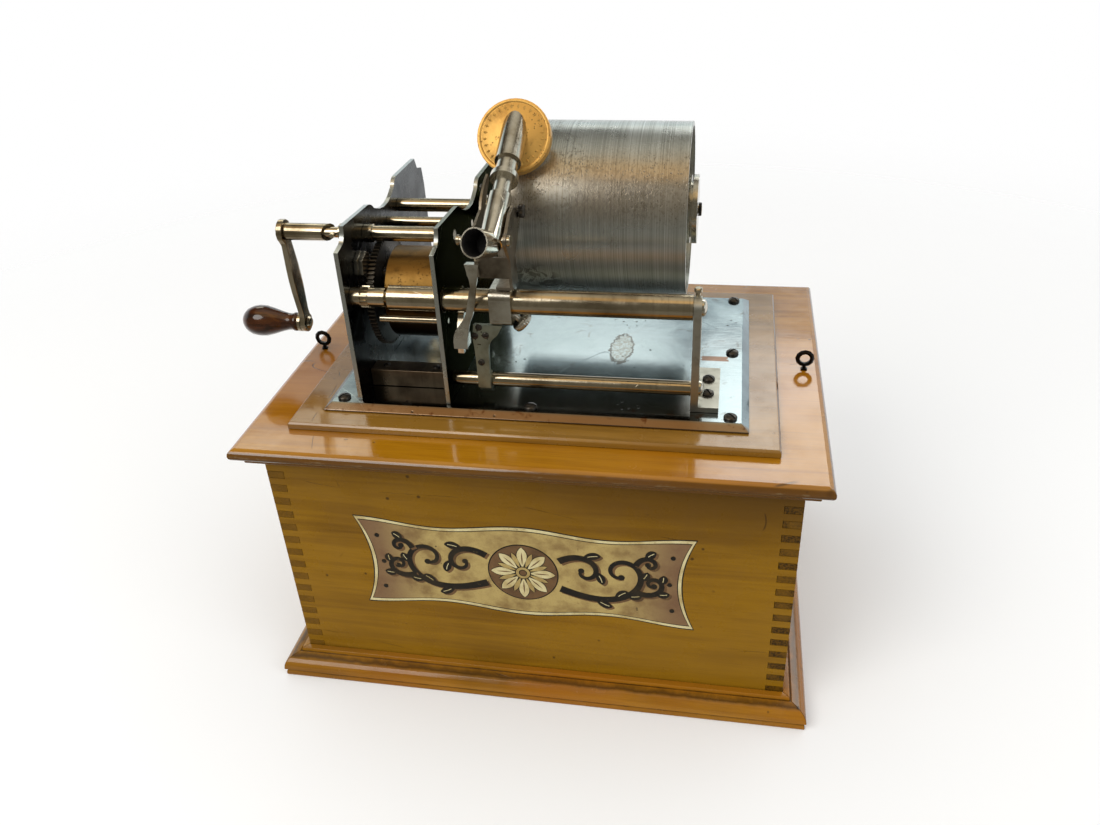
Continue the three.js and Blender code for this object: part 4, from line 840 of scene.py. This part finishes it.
def disc_face(brass):
    """The disc's face: a shallow plate with a raised rim and a groove, and a ring of small lozenges."""
    edge = DISC_RADIUS - 0.3
    profile = [(0.14, 0), (0.14, 21.4), (0.02, 21.6), (0.02, 22.0), (0.5, 22.4), (0.72, 23.2), (0.5, 24.2),
               (0.02, edge), (0.0, edge), (0.0, 0)]
    plate = revolved(profile, DISC_CENTRE, DISC_NORMAL, 120)
    axis, side, over = frame_about(DISC_NORMAL)
    count, ring_radius = 28, 19.4
    lozenges = []
    for k in range(count):
        angle = 2 * math.pi * (k + 0.5) / count
        out = math.cos(angle) * side + math.sin(angle) * over
        across = np.cross(axis, out)
        centre = np.asarray(DISC_CENTRE) + ring_radius * out + 0.1 * axis
        corners = [centre + 1.8 * out, centre + 1.1 * across, centre - 1.8 * out, centre - 1.1 * across]
        points = np.array(corners + [centre + 0.6 * axis, centre - 0.05 * axis])
        faces = [[i, (i + 1) % 4, 4] for i in range(4)] + [[(i + 1) % 4, i, 5] for i in range(4)]
        lozenges.append(matched_out(points * MM, faces))
    joined("disc_face", [plate] + lozenges, brass, "sound_arm", 45.0)


def bore_shade_cup(finish):
    """A dark cup a little inside the horn's bore, painted shade where the bore lies in shadow."""
    root, mouth = np.asarray(HORN_ROOT), np.asarray(HORN_MOUTH)
    outer = [(2.2, 0), (2.2, 7.1), (17.8, 8.36)]
    inner = [(17.8, 8.05), (2.6, 6.8), (2.6, 0)]
    cup = revolved(outer + inner, root, mouth - root, 48)
    joined("bore_shade_cup", [cup], finish, "sound_arm", 60.0)


def feed_thread(finish):
    """The feed screw's thread: along X the radius swells by a rounded ridge that advances one pitch a
    turn."""
    pitch, crest, radius, start, length = 1.355, 0.14, 4.12, -58.0, 158.0
    distance = np.arange(0.0, length, pitch / 5)
    profile = [(-0.01, 0)] + [(d, radius) for d in distance] + [(distance[-1] + 0.01, 0)]

    def ridge(along, angle):
        return crest * np.cos(2 * math.pi * along / pitch - angle)

    thread = revolved(profile, (start, *FEED_AXIS), RIGHTWARD, 20, ridge)
    joined("feed_thread", [thread], finish, "feed_spindle", 80.0)


# The floor.

FLOOR_HALF, FLOOR_DROP = 4, -0.0002
PALE, DIMMED = (0.95, 0.95, 0.95, 1.0), (0.19, 0.18, 0.155, 1.0)


def pale_floor():
    """A wide flat floor: pale under the case, and clear further out, where the white of the world takes
    its place. In front of the case, gloss sees it dim."""
    f = Finish("pale_floor")
    in_front = f.span(f.parts(f.place)[1], 0.05, -0.25)
    in_gloss = f.product(f.add("LightPath").outputs["Is Glossy Ray"], in_front)
    finish = f.set(base_color=f.blend(in_gloss, PALE, DIMMED), roughness=0.75, specular_ior_level=0.15)
    fade = f.add("MixShader")
    f.feed(fade.inputs[0], f.span(f.apart((0.0, 0.0, 0.0)), 0.5, 1.5))
    f.feed(fade.inputs[1], f.surface.outputs[0])
    f.feed(fade.inputs[2], f.add("BsdfTransparent").outputs[0])
    f.feed(f.tree.nodes["Material Output"].inputs["Surface"], fade.outputs[0])
    mesh = bpy.data.meshes.new("floor")
    quarters = ((-1, -1), (1, -1), (1, 1), (-1, 1))
    corners = [(FLOOR_HALF * x, FLOOR_HALF * y, FLOOR_DROP) for x, y in quarters]
    mesh.from_pydata(corners, [], [(0, 1, 2, 3)])
    mesh.materials.append(finish)
    floor = bpy.data.objects.new("floor", mesh)
    SCENE.collection.objects.link(floor)


# Build.

photo_camera()
room_light()
area_lamp("key_lamp", (-1.1, -1.5, 1.9), 1.4, 21.0, (1.0, 0.98, 0.94))
area_lamp("fill_lamp", (1.8, -1.0, 1.2), 1.6, 7.0, (0.96, 0.98, 1.0))

OCHRE = ("#866010", "#74510f", "#583b0a")
AMBER = ("#ac7412", "#96600c", "#643e07")
HONEY = ("#9a6a18", "#82560f", "#5a3a0b")
case_x, case_y = (
    varnished_wood("case_wood_along_" + axis, along, OCHRE, "#30220c", 0.24, 0.05, level=0.15,
                   lid_shade=True)
    for along, axis in enumerate("xy")
)
plinth_x, plinth_y = (
    varnished_wood("plinth_wood_along_" + axis, along, HONEY, "#4a290d", 0.14, 0.35, "#97580f", level=0.3,
                   dirt_and_shade_grooves=(0.0048, 0.0162))
    for along, axis in enumerate("xy")
)
lid_wood = varnished_wood("lid_wood", 0, AMBER, "#4a290d", 0.12, 0.7, "#9f5c0d", (0.2062, 0.2100), 0.4)
pad_wood = varnished_wood("pad_wood", 0, ("#946a26", "#7c571d", "#573a12"), "#3a240d", 0.16, 0.6, "#7f5317")
polished = worked_steel("polished_steel", "#bbaf98", "#82735a", (0.12, 0.25), (600.0, 30.0, 30.0), 0.2)
tube_steel = worked_steel("tube_steel", "#dcd6c8", "#a89a82", (0.13, 0.24), (30.0, 30.0, 30.0), 0.15, 0.3)
warm_steel = worked_steel("worn_warm_steel", "#c6c2b6", "#857966", (0.14, 0.28), EVEN_LAY, 0.28, 0.5)
yoke_steel = worked_steel("yoke_steel", "#938a7c", "#4c4236", (0.26, 0.46), (90.0, 90.0, 500.0), 0.3, 0.5)
foot_steel = worked_steel("foot_casting", "#a0a698", "#5c5b4b", (0.34, 0.52), EVEN_LAY, 0.4, 0.5)
PLATE_LAY, PLATE_EDGE = (30.0, 420.0, 30.0), "#b9bcb8"
plate_steel = worked_steel("plate_steel", "#3b4144", "#1f2325", (0.2, 0.36), PLATE_LAY, 0.2, 0.4,
                           PLATE_EDGE, (0.36, 0.285))
# The right plate's steel: a darker copy of the left plate's with a dulled rim tint, as painted shade.
shaded_steel = worked_steel("painted_shade_plate_steel", "#292d2f", "#17191a", (0.24, 0.4), PLATE_LAY, 0.2, 0.4,
                            PLATE_EDGE, (0.37, 0.3), "#98998d")
bracket_steel = worked_steel("bracket_steel", "#b0aea3", "#736f62", (0.3, 0.44), EVEN_LAY, 0.25, 0.45)
bar_steel = worked_steel("bar_steel", "#7d6e5c", "#463a2e", (0.26, 0.44), (300.0, 20.0, 20.0), 0.3, 0.5)
wheel_steel = worked_steel("oily_wheel_steel", "#57524a", "#221e19", (0.24, 0.44), EVEN_LAY, 0.3, 0.5)
brass = golden_brass("golden_brass")
disc_brass = golden_brass("disc_brass", "#d6a656", "#ab7d3e", (0.34, 0.46), 0.65)
# The barrel's bronze darkens toward its bottom with painted shade.
drum_bronze = golden_brass("satin_bronze", "#77592c", "#584322", (0.32, 0.42), painted_shade_heights=(0.302, 0.27))
screw_black = oiled_black("blackened_screws", "#4a4641", "#8b8378", (0.25, 0.4))
nut_black = oiled_black("blackened_nut", "#2c2926", "#6f665a", (0.22, 0.36))
eye_black = oiled_black("black_iron", "#1a1715", "#453c32", (0.28, 0.46))
mandrel_metal, bed, grip_finish, mica = turned_mandrel_metal(), bed_steel(), lacquered_grip(), pale_mica()
inks = {
    "outline": ornament_ink("ink_black", "#15120d", "#2b2212", 0.2),
    "pale": ornament_ink("ink_pale", "#c9bd8e", "#a58f58", 0.3),
    "ground": ornament_ink("ink_cream", "#ab9458", "#7f6536", 0.36, shade_ends=True),
    "shade": ornament_ink("ink_brown", "#6b4d2c", "#4a341e", 0.3),
}

# Each node's finish and the rounding of its edges in millimetres.
DRESS = {
    "bottom_board": (case_x, 0.3), "front_board": (case_x, 0.08), "rear_board": (case_x, 0.08),
    "left_board": (case_y, 0.08), "right_board": (case_y, 0.08), "plinth_front": (plinth_x, 0.25),
    "plinth_rear": (plinth_x, 0.25), "plinth_left": (plinth_y, 0.25), "plinth_right": (plinth_y, 0.25),
    "top_board": (lid_wood, 0.4), "motor_pad": (pad_wood, 0.3), "bedplate": (bed, 0.35),
    "left_frame_plate": (plate_steel, 0.25), "right_frame_plate": (shaded_steel, 0.25),
    "front_foot_bar": (bar_steel, 0.4), "rear_foot_bar": (bar_steel, 0.4), "top_pillar": (polished, 0.0),
    "rear_pillar": (polished, 0.0), "lower_stay_rod": (polished, 0.0), "lower_guide_rod": (polished, 0.0),
    "guide_tube": (polished, 0.0), "end_bracket": (bracket_steel, 0.3), "click_stud": (warm_steel, 0.2),
    "click": (warm_steel, 0.15), "governor_brake": (bar_steel, 0.1), "winding_shaft": (polished, 0.0),
    "winding_pinion": (warm_steel, 0.0), "crank_sleeve": (polished, 0.0), "crank_arm": (polished, 0.5),
    "grip_spindle": (polished, 0.0), "barrel_arbor": (warm_steel, 0.0), "winding_wheel": (wheel_steel, 0.0),
    "great_wheel": (wheel_steel, 0.0), "middle_arbor": (warm_steel, 0.0),
    "governor_drive_arbor": (warm_steel, 0.0), "governor_arbor": (warm_steel, 0.0),
    "mandrel_shaft": (polished, 0.0), "mandrel": (mandrel_metal, 0.0), "mandrel_end_hub": (warm_steel, 0.0),
    "mandrel_nut": (nut_black, 0.0), "feed_screw": (polished, 0.0), "carriage_block": (warm_steel, 0.5),
    "carriage_yoke": (yoke_steel, 0.25), "guide_foot": (foot_steel, 0.25), "feed_arm": (warm_steel, 0.35),
    "half_nut": (warm_steel, 0.0), "horn_elbow": (tube_steel, 0.0), "sound_tube": (tube_steel, 0.0),
    "stylus": (polished, 0.0), "mainspring": (bar_steel, 0.0), "screw_eye_left": (eye_black, 0.0),
    "screw_eye_right": (eye_black, 0.0), "spring_barrel": (drum_bronze, 0.0), "middle_wheel": (brass, 0.0),
    "governor_wheel": (brass, 0.0), "governor_head": (brass, 0.0), "reproducer_body": (disc_brass, 0.0),
    "diaphragm": (mica, 0.0), "grip": (grip_finish, 0.0),
}
# An edge counts as sharp above these angles in degrees. A moulding's curves need the lower one.
MOULDED = ("plinth_front", "plinth_rear", "plinth_left", "plinth_right", "top_board")
MOULDED_ANGLE, SHARP_ANGLE = 16.0, 35.0
for node, (finish, edge) in DRESS.items():
    dressed(node, finish, edge, MOULDED_ANGLE if node in MOULDED else SHARP_ANGLE)

# The screws, each as (place, radius, height, turn of its slot). The bedplate has one at each corner and in
# the middle of each side but the left.
SCREW_X, SCREW_Y = 133.5, 89
bed_places = [(x, y) for x in (-SCREW_X, 0, SCREW_X) for y in (-SCREW_Y, 0, SCREW_Y)
              if (x, y) not in ((0, 0), (-SCREW_X, 0))]
screws("bedplate_screws", "case_and_frame", screw_black,
       [((x, y, BED_TOP), 4.5, 3.0, 0.7 * x + 0.3 * y) for x, y in bed_places], UP)
screws("bracket_foot_screws", "case_and_frame", screw_black,
       [((117.9, -46.6, BED_TOP + 4), 4.2, 3.0, 0.9), ((117.9, -66.2, BED_TOP + 4), 4.2, 3.0, 0.5)], UP)
screws("foot_bar_screws", "case_and_frame", screw_black,
       [((x, y, BED_TOP + 13), 2.6, 1.3, x) for x in (-108.9, -72.1) for y in (-63.0, 69.0)], UP)
screws("bracket_side_screws", "case_and_frame", warm_steel,
       [((112.0, -78.0, 298.7), 5.5, 3.4, 0.4), ((112.0, -76.0, 238.7), 5.5, 3.4, 1.2)], RIGHTWARD)
screws("guide_foot_screws", "carriage", screw_black,
       [((x, -85.5, z), 2.3, 1.3, x * z) for x, z in
        ((-32, 282.8), (-27.9, 277), (-35.2, 276.4), (-32.4, 256.6))], FORWARD)
screws("yoke_side_screws", "carriage", screw_black,
       [((-30.2, -53.0, 366.0), 2.2, 1.5, 0.3), ((-30.2, -58.0, 352.5), 2.2, 1.5, 1.1)], LEFTWARD)
knurled_knob("feed_arm_knob", (-5.0, -74.5, 282.6), (0.68, 0.146, -0.72), 6.8, 5.0, 9.0, warm_steel,
             "carriage")
knurled_knob("yoke_thumbscrew", (-4.8, -56.0, 352.0), RIGHTWARD, 4.2, 4.0, 4.5, screw_black, "carriage")
joined("trunnion_ends", [
    revolved([(0, 0), (0, 3.6), (1.6, 3.6), (2.0, 3.2), (2.0, 0)], (-6.6, *TRUNNION_AXIS), RIGHTWARD, 24),
    revolved([(0, 0), (0, 3.2), (1.6, 3.2), (2.0, 2.8), (2.0, 0)], (-36.8, *TRUNNION_AXIS), LEFTWARD, 24)],
    polished, "sound_arm")
joined("bracket_pin", [
    revolved([(0, 0), (0, 1.6), (5.0, 1.6), (5.0, 2.6), (6.9, 2.6), (7.5, 2.0), (7.5, 0)],
             (109.3, -76.0, 304.0), UP, 24)], polished, "case_and_frame")
feed_thread(polished)
disc_face(disc_brass)
bore_shade_cup(bore_shade_black())
painted_ornament(inks)

pale_floor()

SCENE.view_settings.view_transform = "Standard"
